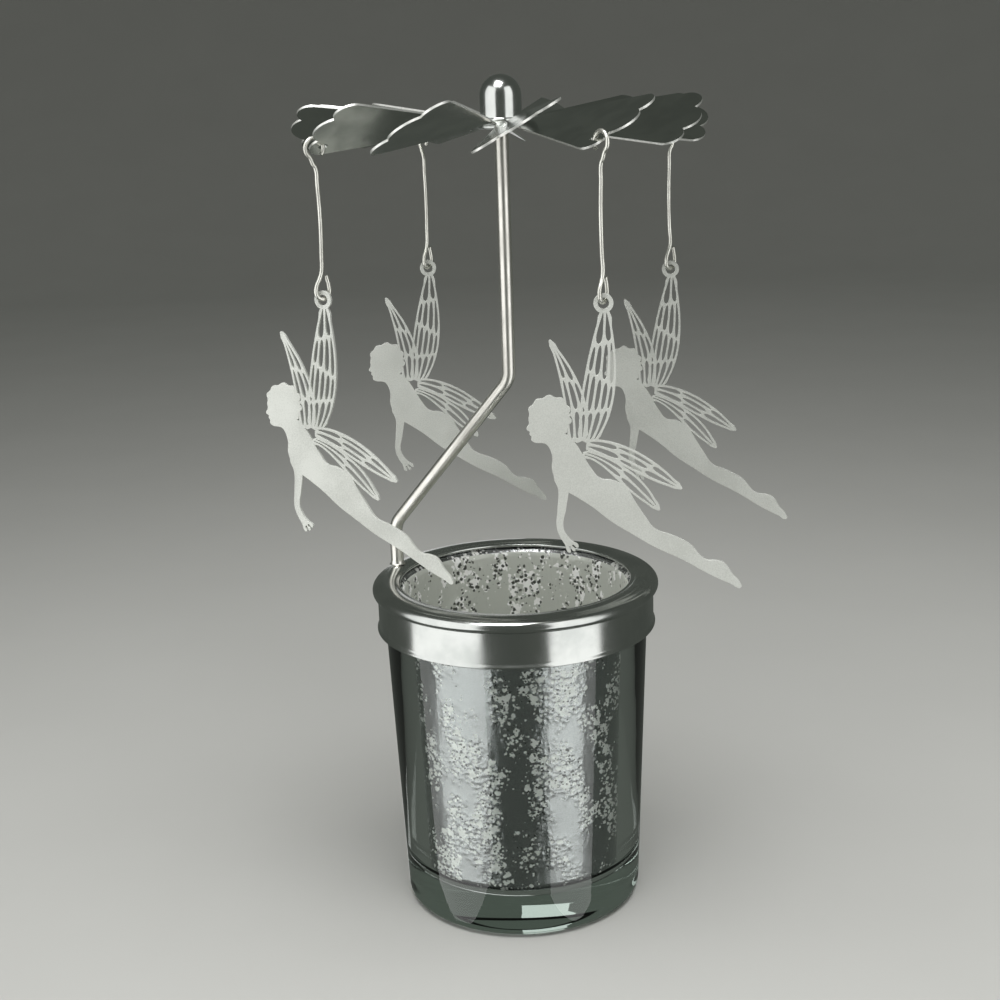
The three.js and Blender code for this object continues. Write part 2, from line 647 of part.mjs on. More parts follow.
// Assembly
const holder = new THREE.Group();
holder.add(makeMesh('glass_cup', cupSolid(), 'glass'));

const stand = new THREE.Group();
stand.add(makeMesh('collar', collarSolid(), 'plated'));
stand.add(makeMesh('post', postSolid(), 'plated'));
holder.add(stand);

const rotor = new THREE.Group();
rotor.add(makeMesh('pivot_cap', capSolid(), 'plated'));
rotor.add(makeMesh('cap_washer', washerSolid(), 'plated'));
stand.add(rotor);

const fan = makeMesh('fan', fanSolid(), 'sheet');
fan.position.z = fanHeight;
rotor.add(fan);

for (let n = 0; n < HANGER_COUNT; n++) {
  const azimuth = bladeAzimuth(hangerBlade(n));
  const plateTurn = radians(PLATE_TURNS[n % PLATE_TURNS.length]);
  const blade = new THREE.Group();
  blade.rotation.z = azimuth;
  blade.position.z = fanHeight;
  rotor.add(blade);

  const hanger = new THREE.Group();
  hanger.position.set(eyeReach, holeAcross * Math.cos(pitch), -eyeBelowFan);
  const loopTurn = plateTurn + Math.PI / 2 - loopSkew - azimuth;
  hanger.add(makeMesh(`hanger_${n + 1}`, hangerSolid(loopTurn), 'wire'));
  blade.add(hanger);

  const figure = makeMesh(`fairy_${n + 1}`, fairy, 'etched');
  figure.rotation.z = plateTurn - azimuth;
  figure.position.z = -ringDrop;
  hanger.add(figure);
}

export default holder;
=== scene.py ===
"""Looks of a rotating candle holder: a silver-lined glass cup, a plated collar and post, and a hung fan.

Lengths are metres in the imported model's frame: Z is up, the cup stands on Z = 0 and the front faces -Y.
"""
import json
import logging
import math
from dataclasses import dataclass
from enum import Enum
from typing import Sequence

import bpy
from bpy.types import Material, Node, NodeSocket, NodeTree, Object
from mathutils import Matrix, Vector


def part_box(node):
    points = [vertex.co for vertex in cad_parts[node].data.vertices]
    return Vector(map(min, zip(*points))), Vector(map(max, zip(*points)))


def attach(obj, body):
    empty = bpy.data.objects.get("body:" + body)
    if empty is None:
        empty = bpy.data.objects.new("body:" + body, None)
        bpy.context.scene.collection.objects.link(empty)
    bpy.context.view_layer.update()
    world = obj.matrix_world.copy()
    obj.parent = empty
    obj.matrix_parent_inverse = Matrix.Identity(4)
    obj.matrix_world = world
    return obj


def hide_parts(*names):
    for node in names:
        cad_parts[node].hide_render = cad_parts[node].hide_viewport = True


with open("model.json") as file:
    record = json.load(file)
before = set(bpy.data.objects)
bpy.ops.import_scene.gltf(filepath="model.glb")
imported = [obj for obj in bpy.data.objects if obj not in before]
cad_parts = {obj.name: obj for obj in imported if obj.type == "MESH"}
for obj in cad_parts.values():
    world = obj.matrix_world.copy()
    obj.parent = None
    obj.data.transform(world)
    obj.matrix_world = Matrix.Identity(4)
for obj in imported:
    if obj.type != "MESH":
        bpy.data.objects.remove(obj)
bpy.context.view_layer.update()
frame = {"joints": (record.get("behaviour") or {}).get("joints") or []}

LOG = logging.getLogger("candle_holder")

MM = 0.001
# Points closer than this are one point
MERGE_DISTANCE = 0.002 * MM
# Gaps between pieces that sit on each other and between pieces that move against each other
SEAT_GAP = 0.1 * MM
LOOSE_GAP = 0.3 * MM
# How finely the round section of a wire is drawn
WIRE_ROUNDNESS = 5
# The numbers of the hangers and of the fairies that hang on them
HUNG = (1, 2, 3, 4)
JOINTS = {joint["name"]: joint for joint in frame["joints"]}

Pair = tuple[float, float]
Triple = tuple[float, float, float]
Corner = tuple[Vector, float]


class Slot(Enum):
    """The record's material slots."""

    GLASS = "cup_glass"
    PLATED = "plated_steel"
    SHEET = "polished_sheet"
    WIRE = "bright_wire"
    ETCHED = "etched_steel"


class Solid(Enum):
    """What a boolean does with its second shape."""

    JOIN = "UNION"
    CUT = "DIFFERENCE"


class Lit(Enum):
    """What a light falls on: the floor alone, or all but the floor."""

    FLOOR = "INCLUDE"
    OBJECT = "EXCLUDE"


# Places, outlines and routes


def hung_place(joint: str) -> Vector:
    """Where a swing joint lies."""
    return Vector(JOINTS[joint]["pos_m"])


def hung_turn(joint: str) -> float:
    """The angle about Z that a swing joint's piece is turned by."""
    axis = JOINTS[joint]["axis"]
    return math.atan2(axis[0], -axis[1])


def at(radius: float, height: float, rounding: float = 0.0) -> Corner:
    """A corner of a turned outline, in the XZ plane."""
    return Vector((radius, 0.0, height)), rounding


def arc(centre: Pair, radius: float, start: float, end: float, steps: int) -> list[Corner]:
    """Draw an arc in the XZ plane.

    Args:
        centre: The arc's centre, as x and z.
        radius: The arc's radius.
        start: The angle of its first point, in degrees from +X towards +Z.
        end: The angle of its last point, in degrees.
        steps: How many chords it is drawn with.

    Returns:
        The arc's points as corners with no rounding.
    """
    angles = [math.radians(start + (end - start) * k / steps) for k in range(steps + 1)]
    return [at(centre[0] + radius * math.cos(a), centre[1] + radius * math.sin(a)) for a in angles]


def rounded(corners: Sequence[Corner], steps: int = 5) -> list[Vector]:
    """Run straight from corner to corner and round each inner one by its own radius.

    Args:
        corners: The corners in order, each with its rounding.
        steps: How many chords a rounding is drawn with.

    Returns:
        The points of the rounded line.
    """
    points = []
    for index, (corner, radius) in enumerate(corners):
        if radius == 0.0:
            points.append(corner.copy())
            continue
        before = (corners[index - 1][0] - corner).normalized()
        after = (corners[index + 1][0] - corner).normalized()
        half_angle = before.angle(after) / 2
        setback = radius / math.tan(half_angle)
        centre = corner + (before + after).normalized() * (radius / math.sin(half_angle))
        first = (corner + before * setback - centre).normalized()
        last = (corner + after * setback - centre).normalized()
        points += [centre + first.slerp(last, k / steps) * radius for k in range(steps + 1)]
    return points


# Modelling with the operators


def take(*objects: Object) -> None:
    """Select these objects alone, with the first one active.

    Args:
        objects: The objects, or none to deselect everything.
    """
    if bpy.context.mode != "OBJECT":
        bpy.ops.object.mode_set(mode="OBJECT")
    bpy.ops.object.select_all(action="DESELECT")
    for obj in objects:
        obj.select_set(True)
    if objects:
        bpy.context.view_layer.objects.active = objects[0]


def apply_modifier(obj: Object, kind: str, **settings: object) -> None:
    """Add a modifier and apply it at once.

    Args:
        obj: The mesh object.
        kind: The modifier's type.
        settings: The modifier's properties by name.
    """
    take(obj)
    modifier = obj.modifiers.new(kind.lower(), kind)
    for name, value in settings.items():
        setattr(modifier, name, value)
    bpy.ops.object.modifier_apply(modifier=modifier.name)


def combine(obj: Object, tool: Object, way: Solid) -> None:
    """Join a tool shape to an object or cut it out, and throw the tool away."""
    apply_modifier(obj, "BOOLEAN", operation=way.value, object=tool, solver="MANIFOLD")
    bpy.data.objects.remove(tool)


def punch(obj: Object, radius: float, depth: float, place: Matrix, segments: int) -> None:
    """Punch a round hole in an object.

    Args:
        obj: The mesh object.
        radius: The hole's radius.
        depth: How deep the punch is, half of it on each side of its place.
        place: Where the hole's middle is, with the hole along its Z axis.
        segments: How many sides the hole has.
    """
    take()
    bpy.ops.mesh.primitive_cylinder_add(radius=radius, depth=depth, vertices=segments)
    combine(obj, settle(bpy.context.object, place), Solid.CUT)


def close_up(obj: Object, crease: float = 35.0) -> None:
    """Merge doubled points, turn the faces outwards and smooth all but the creases.

    Args:
        obj: The mesh object.
        crease: Edges that turn by more than this many degrees stay sharp.
    """
    take(obj)
    bpy.ops.object.mode_set(mode="EDIT")
    bpy.ops.mesh.select_all(action="SELECT")
    bpy.ops.mesh.remove_doubles(threshold=MERGE_DISTANCE)
    bpy.ops.mesh.normals_make_consistent(inside=False)
    bpy.ops.object.mode_set(mode="OBJECT")
    bpy.ops.object.shade_smooth_by_angle(angle=math.radians(crease))


def settle(obj: Object, place: Matrix) -> Object:
    """Put an object in its place and move that place into its mesh.

    Args:
        obj: The mesh object.
        place: Where it goes.

    Returns:
        The same object, at the origin.
    """
    take(obj)
    obj.matrix_world = place
    bpy.ops.object.transform_apply(location=True, rotation=True, scale=True)
    return obj


def copied(obj: Object, name: str) -> Object:
    """Duplicate an object with a mesh of its own.

    Args:
        obj: The object to copy.
        name: The copy's name.

    Returns:
        The copy.
    """
    take(obj)
    bpy.ops.object.duplicate()
    copy = bpy.context.object
    copy.name = name
    copy.data.name = name
    return copy


def drawn(name: str, lines: Sequence[Sequence[Vector]], closed: bool, smooth: bool, steps: int = 5) -> Object:
    """Draw a curve object.

    Args:
        name: The object's name.
        lines: The points of each line.
        closed: Whether each line runs back to its start.
        smooth: Whether the lines bend through their points or run straight between them.
        steps: How many chords a bend between two points is drawn with.

    Returns:
        The curve object, selected and active.
    """
    take()
    bpy.ops.curve.primitive_bezier_curve_add()
    obj = bpy.context.object
    obj.name = name
    obj.data.name = name
    obj.data.splines.clear()
    for points in lines:
        spline = obj.data.splines.new("BEZIER" if smooth else "POLY")
        knots = spline.bezier_points if smooth else spline.points
        knots.add(len(points) - 1)
        for knot, point in zip(knots, points):
            if smooth:
                knot.co = point
                knot.handle_left_type = "AUTO"
                knot.handle_right_type = "AUTO"
            else:
                knot.co = (*point, 1.0)
        spline.use_cyclic_u = closed
    obj.data.resolution_u = steps
    return obj


def turned(name: str, outline: Sequence[Vector], segments: int) -> Object:
    """Spin an outline in the XZ plane once round the Z axis.

    Args:
        name: The object's name.
        outline: The outline's points, from the axis to the axis or closed on itself.
        segments: How many steps the turn has.

    Returns:
        The turned mesh object.
    """
    obj = drawn(name, [outline], closed=False, smooth=False)
    bpy.ops.object.convert(target="MESH")
    bpy.ops.object.mode_set(mode="EDIT")
    bpy.ops.mesh.select_all(action="SELECT")
    bpy.ops.mesh.spin(steps=segments, angle=2 * math.pi, center=(0, 0, 0), axis=(0, 0, 1))
    close_up(obj)
    return obj


def rod(
    name: str, route: Sequence[Vector], radius: float, smooth: bool, point: Sequence[float] = ()
) -> Object:
    """Draw a round wire along a route.

    Args:
        name: The object's name.
        route: The points of the wire's middle line.
        radius: The wire's radius.
        smooth: Whether the wire bends through the points or runs straight between them.
        point: The shares of the radius that the last points of the route keep.

    Returns:
        The wire as a closed mesh object.
    """
    obj = drawn(name, [route], closed=False, smooth=smooth)
    obj.data.dimensions = "3D"
    obj.data.bevel_depth = radius
    obj.data.bevel_resolution = WIRE_ROUNDNESS
    obj.data.use_fill_caps = True
    if point:
        for knot, share in zip(obj.data.splines[0].points[-len(point):], point):
            knot.radius = share
    bpy.ops.object.convert(target="MESH")
    close_up(obj)
    return obj


def plate(name: str, lines: Sequence[Sequence[Vector]], thickness: float, edge: float, steps: int) -> Object:
    """Fill smooth flat outlines to a plate that stands in the XZ plane, with softened edges.

    Args:
        name: The object's name.
        lines: The outline and the openings in it, drawn in x and y.
        thickness: The plate's thickness.
        edge: How far its edges are rounded.
        steps: How many chords a bend between two points is drawn with.

    Returns:
        The plate as a closed mesh object.
    """
    obj = drawn(name, lines, closed=True, smooth=True, steps=steps)
    obj.data.dimensions = "2D"
    obj.data.fill_mode = "BOTH"
    obj.data.extrude = thickness / 2 - edge
    obj.data.bevel_depth = edge
    obj.data.bevel_resolution = 1
    obj.data.offset = -edge
    bpy.ops.object.convert(target="MESH")
    settle(obj, Matrix.Rotation(math.pi / 2, 4, "X"))
    close_up(obj)
    return obj


# Finishes

# Settings and sockets of nodes that several finishes use
SMOOTH = {"interpolation_type": "SMOOTHSTEP"}
COLOURS = {"data_type": "RGBA"}
MIX_SHARE = 0
MIX_FIRST = 6
MIX_SECOND = 7
MIX_RESULT = 2


def linear(colour: str) -> tuple[float, float, float, float]:
    """Turn an sRGB colour to linear light.

    Args:
        colour: The colour as #rrggbb.

    Returns:
        Its red, green and blue, with full alpha.
    """
    shares = [int(colour[k:k + 2], 16) / 255 for k in (1, 3, 5)]
    values = [s / 12.92 if s <= 0.04045 else ((s + 0.055) / 1.055) ** 2.4 for s in shares]
    return (*values, 1.0)


def rise(value: NodeSocket, over: Pair, to: Pair = (0.0, 1.0)) -> dict:
    """The inputs that carry one range of a value over to another."""
    return {"Value": value, "From Min": over[0], "From Max": over[1], "To Min": to[0], "To Max": to[1]}


@dataclass(frozen=True)
class Board:
    """A material's nodes, and the surface point in the piece's own coordinates."""

    tree: NodeTree
    shader: Node
    output: Node
    place: NodeSocket

    def feed(self, node: Node, inputs: dict) -> None:
        """Set a node's inputs.

        Args:
            node: The node.
            inputs: A value or an output socket for each input, by name or index.
        """
        for key, value in inputs.items():
            if isinstance(value, NodeSocket):
                self.tree.links.new(value, node.inputs[key])
            else:
                node.inputs[key].default_value = value

    def add(self, kind: str, settings: dict, inputs: dict) -> Node:
        """Add a node with its settings and inputs.

        Args:
            kind: The node's type, without its common prefix.
            settings: The node's properties by name.
            inputs: A value or an output socket for each input, by name or index.

        Returns:
            The new node.
        """
        node = self.tree.nodes.new("ShaderNode" + kind)
        for name, value in settings.items():
            setattr(node, name, value)
        self.feed(node, inputs)
        return node


@dataclass(frozen=True)
class Finish:
    """A material with one shader, which each finish fills in its own way."""

    name: str

    def make(self) -> Material:
        """Make the material, or find the one made before.

        Returns:
            The material.
        """
        if self.name in bpy.data.materials:
            return bpy.data.materials[self.name]
        material = bpy.data.materials.new(self.name)
        material.use_nodes = True
        tree = material.node_tree
        nodes = {node.type: node for node in tree.nodes}
        place = tree.nodes.new("ShaderNodeTexCoord").outputs["Object"]
        self.shade(Board(tree, nodes["BSDF_PRINCIPLED"], nodes["OUTPUT_MATERIAL"], place))
        return material

    def shade(self, board: Board) -> None:
        """Fill in the shader.

        Args:
            board: The material's nodes.
        """
        raise NotImplementedError


@dataclass(frozen=True)
class BrightMetal(Finish):
    """Bare or plated bright metal: a mirror with soft patches of haze from wiping, and a faint waviness."""

    # The noise values between which haze comes up in the colour and in the polish
    COLOUR_RISE = (0.35, 0.7)
    POLISH_RISE = (0.3, 0.75)

    colour: str
    shade_colour: str
    polish: float
    haze: float
    haze_size: float
    grain_size: Triple
    wave: float

    def shade(self, board: Board) -> None:
        """Mix the haze into colour and polish, and the grain into the bump.

        Args:
            board: The material's nodes.
        """
        patches = {"Vector": board.place, "Scale": 1 / self.haze_size, "Detail": 4.0}
        haze = board.add("TexNoise", {}, patches).outputs["Fac"]
        stretch = tuple(1 / size for size in self.grain_size)
        stretched = board.add("Mapping", {}, {"Vector": board.place, "Scale": stretch}).outputs["Vector"]
        grain = board.add("TexNoise", {}, {"Vector": stretched, "Scale": 1.0, "Detail": 2.0}).outputs["Fac"]
        share = board.add("MapRange", SMOOTH, rise(haze, self.COLOUR_RISE)).outputs["Result"]
        colours = {MIX_SHARE: share, MIX_FIRST: linear(self.colour), MIX_SECOND: linear(self.shade_colour)}
        rough = rise(haze, self.POLISH_RISE, (self.polish, self.polish + self.haze))
        waves = {"Height": grain, "Strength": 1.0, "Distance": self.wave}
        board.feed(board.shader, {
            "Metallic": 1.0,
            "Base Color": board.add("Mix", COLOURS, colours).outputs[MIX_RESULT],
            "Roughness": board.add("MapRange", SMOOTH, rough).outputs["Result"],
            "Normal": board.add("Bump", {}, waves).outputs["Normal"],
        })


@dataclass(frozen=True)
class EtchedSteel(Finish):
    """Stainless sheet matted by the etch that cut it: an even soft grey with a fine dry grain."""

    # The pits throw back about half of the light as a matt skin would
    METAL = 0.45
    # The values of grain and cloud together between which the etch changes in colour and in polish
    COLOUR_RISE = (0.75, 1.25)
    POLISH_RISE = (0.7, 1.3)
    POLISH = (0.55, 0.7)
    PIT_DEPTH = 0.02 * MM
    PIT_STRENGTH = 0.5

    colour: str
    shade_colour: str
    grain: float
    cloud: float

    def shade(self, board: Board) -> None:
        """Lay a fine grain over slow clouds of the etch.

        Args:
            board: The material's nodes.
        """
        fine = {"Vector": board.place, "Scale": 1 / self.grain, "Detail": 3.0}
        slow = {"Vector": board.place, "Scale": 1 / self.cloud, "Detail": 2.0}
        grain = board.add("TexNoise", {}, fine).outputs["Fac"]
        cloud = board.add("TexNoise", {}, slow).outputs["Fac"]
        both = board.add("Math", {"operation": "ADD"}, {0: grain, 1: cloud}).outputs["Value"]
        share = board.add("MapRange", SMOOTH, rise(both, self.COLOUR_RISE)).outputs["Result"]
        colours = {MIX_SHARE: share, MIX_FIRST: linear(self.colour), MIX_SECOND: linear(self.shade_colour)}
        rough = rise(both, self.POLISH_RISE, self.POLISH)
        pits = {"Height": grain, "Strength": self.PIT_STRENGTH, "Distance": self.PIT_DEPTH}
        board.feed(board.shader, {
            "Metallic": self.METAL,
            "Base Color": board.add("Mix", COLOURS, colours).outputs[MIX_RESULT],
            "Roughness": board.add("MapRange", SMOOTH, rough).outputs["Result"],
            "Normal": board.add("Bump", {}, pits).outputs["Normal"],
        })


@dataclass(frozen=True)
class PressedGlass(Finish):
    """Clear soda-lime glass out of a mould: a green cast where it is thick, and the mould's slow ripple."""

    IOR = 1.52
    RIPPLE_DEPTH = 0.05 * MM
    RIPPLE_STRENGTH = 0.6

    colour: str
    cast: str
    density: float
    ripple: float

    def shade(self, board: Board) -> None:
        """Set the clear glass, ripple its surface and let it take colour with depth.

        Args:
            board: The material's nodes.
        """
        slow = {"Vector": board.place, "Scale": 1 / self.ripple, "Detail": 1.0}
        ripple = board.add("TexNoise", {}, slow).outputs["Fac"]
        waves = {"Height": ripple, "Strength": self.RIPPLE_STRENGTH, "Distance": self.RIPPLE_DEPTH}
        board.feed(board.shader, {
            "Base Color": linear(self.colour),
            "Transmission Weight": 1.0,
            "Roughness": 0.0,
            "IOR": self.IOR,
            "Normal": board.add("Bump", {}, waves).outputs["Normal"],
        })
        cast = board.add("VolumeAbsorption", {}, {"Color": linear(self.cast), "Density": self.density})
        board.feed(board.output, {"Volume": cast.outputs["Volume"]})


@dataclass(frozen=True)
class SilverFilm(Finish):
    """Silver laid on glass and partly lifted: a soft mirror with clusters of flakes, drawn out downwards.

    In a cluster the film is blistered, some has come up as bright flakes and some is gone, its gaps painted
    in shade.
    """

    # Larger flakes among the small ones, in times their size
    LARGER = 2.8
    # The values of the clusters' noise between which small and large spots and blisters come up
    SMALL_RISE = (0.36, 0.6)
    LARGE_RISE = (0.34, 0.64)
    BLISTER_RISE = (0.4, 0.55)
    # How far the spots grow there, from none at 0.2 to touching at 0.9
    SMALL_GROWTH = (0.26, 0.84)
    LARGE_GROWTH = (0.32, 0.8)
    # How ragged a spot is, how fine its rags are against its size, and how soft its edge is
    RAG = 0.8
    RAG_FINENESS = 2.5
    EDGE_RISE = (-0.05, 0.05)
    FLAKE_POLISH = 0.5
    # The height of a blister in times its size
    BLISTER_HEIGHT = 0.1

    colour: str
    flake_colour: str
    # The gaps' colour: painted shade seen through where the film is gone
    gap_shade_colour: str
    metal: float
    polish: float
    flake_metal: float
    flake_size: float
    hole_size: float
    hole_growth: float
    cluster: Triple

    def spots(self, board: Board, size: float, growth: dict) -> NodeSocket:
        """Scatter ragged spots.

        Args:
            board: The material's nodes.
            size: The spots' usual distance from each other.
            growth: The inputs that turn the clusters' noise to the spots' growth.

        Returns:
            A mask of the spots.
        """
        fine = {"Vector": board.place, "Scale": self.RAG_FINENESS / size, "Detail": 4.0}
        rags = board.add("TexNoise", {}, fine).outputs["Fac"]
        spread = {"Vector": board.place, "Scale": 1 / size, "Randomness": 1.0}
        cells = board.add("TexVoronoi", {}, spread).outputs["Distance"]
        ragged = {0: rags, 1: self.RAG, 2: cells}
        distance = board.add("Math", {"operation": "MULTIPLY_ADD"}, ragged).outputs["Value"]
        grown = board.add("MapRange", SMOOTH, growth).outputs["Result"]
        inside = board.add("Math", {"operation": "SUBTRACT"}, {0: grown, 1: distance}).outputs["Value"]
        return board.add("MapRange", SMOOTH, rise(inside, self.EDGE_RISE)).outputs["Result"]

    def shade(self, board: Board) -> None:
        """Lay blisters, flakes and gaps painted in shade, in clusters over the silver.

        Args:
            board: The material's nodes.
        """
        stretch = tuple(1 / size for size in self.cluster)
        stretched = board.add("Mapping", {}, {"Vector": board.place, "Scale": stretch}).outputs["Vector"]
        noise = {"Vector": stretched, "Scale": 1.0, "Detail": 4.0}
        clusters = board.add("TexNoise", {}, noise).outputs["Fac"]
        larger = self.LARGER * self.flake_size
        hole_growth = (self.SMALL_GROWTH[0], self.hole_growth)
        small = self.spots(board, self.flake_size, rise(clusters, self.SMALL_RISE, self.SMALL_GROWTH))
        large = self.spots(board, larger, rise(clusters, self.LARGE_RISE, self.LARGE_GROWTH))
        holes = self.spots(board, self.hole_size, rise(clusters, self.SMALL_RISE, hole_growth))
        flakes = board.add("Math", {"operation": "MAXIMUM"}, {0: small, 1: large}).outputs["Value"]
        lifted = board.add("Math", {"operation": "MAXIMUM"}, {0: flakes, 1: holes}).outputs["Value"]
        flaked = board.add("Mix", COLOURS, {
            MIX_SHARE: flakes, MIX_FIRST: linear(self.colour), MIX_SECOND: linear(self.flake_colour),
        }).outputs[MIX_RESULT]
        # The gaps take a dark colour: painted shade seen through them
        colours = {MIX_SHARE: holes, MIX_FIRST: flaked, MIX_SECOND: linear(self.gap_shade_colour)}
        metal = rise(lifted, (0.0, 1.0), (self.metal, self.flake_metal))
        rough = rise(lifted, (0.0, 1.0), (self.polish, self.FLAKE_POLISH))
        cells = {"Vector": board.place, "Scale": 1 / self.flake_size}
        domes = board.add("TexVoronoi", {}, cells).outputs["Distance"]
        blistered = board.add("MapRange", SMOOTH, rise(clusters, self.BLISTER_RISE)).outputs["Result"]
        raised = board.add("Math", {"operation": "MULTIPLY"}, {0: domes, 1: blistered}).outputs["Value"]
        blisters = {"Height": raised, "Strength": 1.0, "Distance": self.BLISTER_HEIGHT * self.flake_size}
        board.feed(board.shader, {
            "Base Color": board.add("Mix", COLOURS, colours).outputs[MIX_RESULT],
            "Metallic": board.add("MapRange", SMOOTH, metal).outputs["Result"],
            "Roughness": board.add("MapRange", SMOOTH, rough).outputs["Result"],
            "Normal": board.add("Bump", {}, blisters).outputs["Normal"],
        })


@dataclass(frozen=True)
class PaleFloor(Finish):
    """Matt painted board: an even pale grey with the slightest mottle.

    Mirrored light passes through it, so that metal and silver show the dim room and the lights.
    """

    ROUGHNESS = 0.6
    # Between no mirror on the light's way and one
    FIRST_MIRROR = 0.5

    colour: str
    shade_colour: str
    mottle: float

    def shade(self, board: Board) -> None:
        """Mottle the paint and clear it for light that a mirror has thrown back.

        Args:
            board: The material's nodes.
        """
        slow = {"Vector": board.place, "Scale": 1 / self.mottle, "Detail": 3.0}
        mottle = board.add("TexNoise", {}, slow).outputs["Fac"]
        colours = {MIX_SHARE: mottle, MIX_FIRST: linear(self.colour), MIX_SECOND: linear(self.shade_colour)}
        board.feed(board.shader, {
            "Base Color": board.add("Mix", COLOURS, colours).outputs[MIX_RESULT],
            "Roughness": self.ROUGHNESS,
        })
        bounces = board.add("LightPath", {}, {}).outputs["Glossy Depth"]
        test = {0: bounces, 1: self.FIRST_MIRROR}
        mirrored = board.add("Math", {"operation": "GREATER_THAN"}, test).outputs["Value"]
        clear = board.add("BsdfTransparent", {}, {}).outputs["BSDF"]
        seen = {0: mirrored, 1: board.shader.outputs["BSDF"], 2: clear}
        board.feed(board.output, {"Surface": board.add("MixShader", {}, seen).outputs["Shader"]})


# Chrome plate over pressed and drawn steel: bright, a little softened by the draw marks under the plate
CHROME_PLATE = BrightMetal(
    "chrome_plated_steel", "#cccecb", "#bcbfbc", polish=0.15, haze=0.08, haze_size=7 * MM,
    grain_size=(5 * MM, 5 * MM, 5 * MM), wave=0.004 * MM,
)
# The same plate on the drawn rod of the post: satin from the draw marks under it, drawn coarser to show
# Its colour, lighter and creamier than the collar's plate, is painted light that the post catches
ROD_PLATE_PAINTED_LIGHT = BrightMetal(
    "chrome_rod_painted_light", "#e8e6df", "#d8d6cf", polish=0.3, haze=0.08, haze_size=5 * MM,
    grain_size=(0.3 * MM, 0.3 * MM, 8 * MM), wave=0.003 * MM,
)
# Cold-rolled bright stainless sheet: a slightly grey mirror, clearer than the plate, with soft waves
ROLLED_SHEET = BrightMetal(
    "bright_rolled_stainless", "#c2c4bf", "#adb0ab", polish=0.09, haze=0.08, haze_size=6 * MM,
    grain_size=(3 * MM, 3 * MM, 3 * MM), wave=0.004 * MM,
)
# The same sheet's edge as the punch leaves it: torn to a dull grain a tenth of a millimetre wide
# Its near-white colour, paler than the sheet, is a painted highlight along the cut edges
SHEARED_EDGE_HIGHLIGHT = BrightMetal(
    "sheared_edge_painted_highlight", "#f4f4f0", "#dcddd8", polish=0.44, haze=0.12, haze_size=1 * MM,
    grain_size=(0.1 * MM, 0.1 * MM, 0.1 * MM), wave=0.006 * MM,
)
FAN_FINISHES = (ROLLED_SHEET, SHEARED_EDGE_HIGHLIGHT)
# Drawn stainless wire: bright, with fine marks of the die along it, drawn coarser to show
# Its colour, lighter and warmer than the fan's stainless, is painted light that the thin wire catches
DRAWN_WIRE_PAINTED_LIGHT = BrightMetal(
    "drawn_wire_painted_light", "#ecebe3", "#d9d8d0", polish=0.34, haze=0.1, haze_size=3 * MM,
    grain_size=(0.12 * MM, 0.12 * MM, 5 * MM), wave=0.003 * MM,
)
# Photo-etched stainless: the grain of the acid is a few microns and is drawn coarser to show
ETCHED_PLATE = EtchedSteel("etched_stainless", "#d2d4ce", "#c3c5bf", grain=0.22 * MM, cloud=9 * MM)
# Soda-lime glass: iron in the sand greens it by a few hundredths per centimetre
CUP_GLASS = PressedGlass("pressed_soda_glass", "#fcfefd", "#cdeadb", density=14.0, ripple=14 * MM)
# Silver film seen through the glass it was laid on: a soft mirror with bright flakes of a millimetre or two
# Its gaps are painted near black: the shade seen through them
MIRROR_SIDE = SilverFilm(
    "silver_film_mirror_side", "#aaabac", "#fcfcf9", "#22241f", metal=1.0, polish=0.23, flake_metal=0.8,
    flake_size=0.85 * MM, hole_size=0.75 * MM, hole_growth=0.66, cluster=(4.4 * MM, 4.4 * MM, 9 * MM),
)
# The same film's open side, towards the candle: dry and matt, with broader flakes and gaps in narrow runs
# Its gaps are painted dark grey: the shade seen through them
DRY_SIDE = SilverFilm(
    "silver_film_dry_side", "#c6c9c1", "#fefefc", "#43463f", metal=0.12, polish=0.3, flake_metal=0.1,
    flake_size=1.1 * MM, hole_size=1.0 * MM, hole_growth=0.8, cluster=(2.6 * MM, 2.6 * MM, 8 * MM),
)
# Matt paint on board: pale and even, with a faint slow mottle
FLOOR_PAINT = PaleFloor("pale_painted_board", "#c4c4c0", "#bebeba", mottle=60 * MM)


def fit(
    obj: Object, body: str, finishes: Sequence[Finish], node: str = ""
) -> None:
    """Dress a finished piece and set it on its body.

    Args:
        obj: The finished piece.
        body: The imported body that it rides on.
        finishes: The piece's finishes, in the order that its faces number them.
        node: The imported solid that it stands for, if there is one.
    """
    numbers = [face.material_index for face in obj.data.polygons]
    obj.data.materials.clear()
    for finish in finishes:
        obj.data.materials.append(finish.make())
    obj.data.polygons.foreach_set("material_index", numbers)
    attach(obj, body)
    if node:
        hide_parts(node)
    LOG.info("%s: %d faces on %s", obj.name, len(obj.data.polygons), body)


# Sub-assemblies


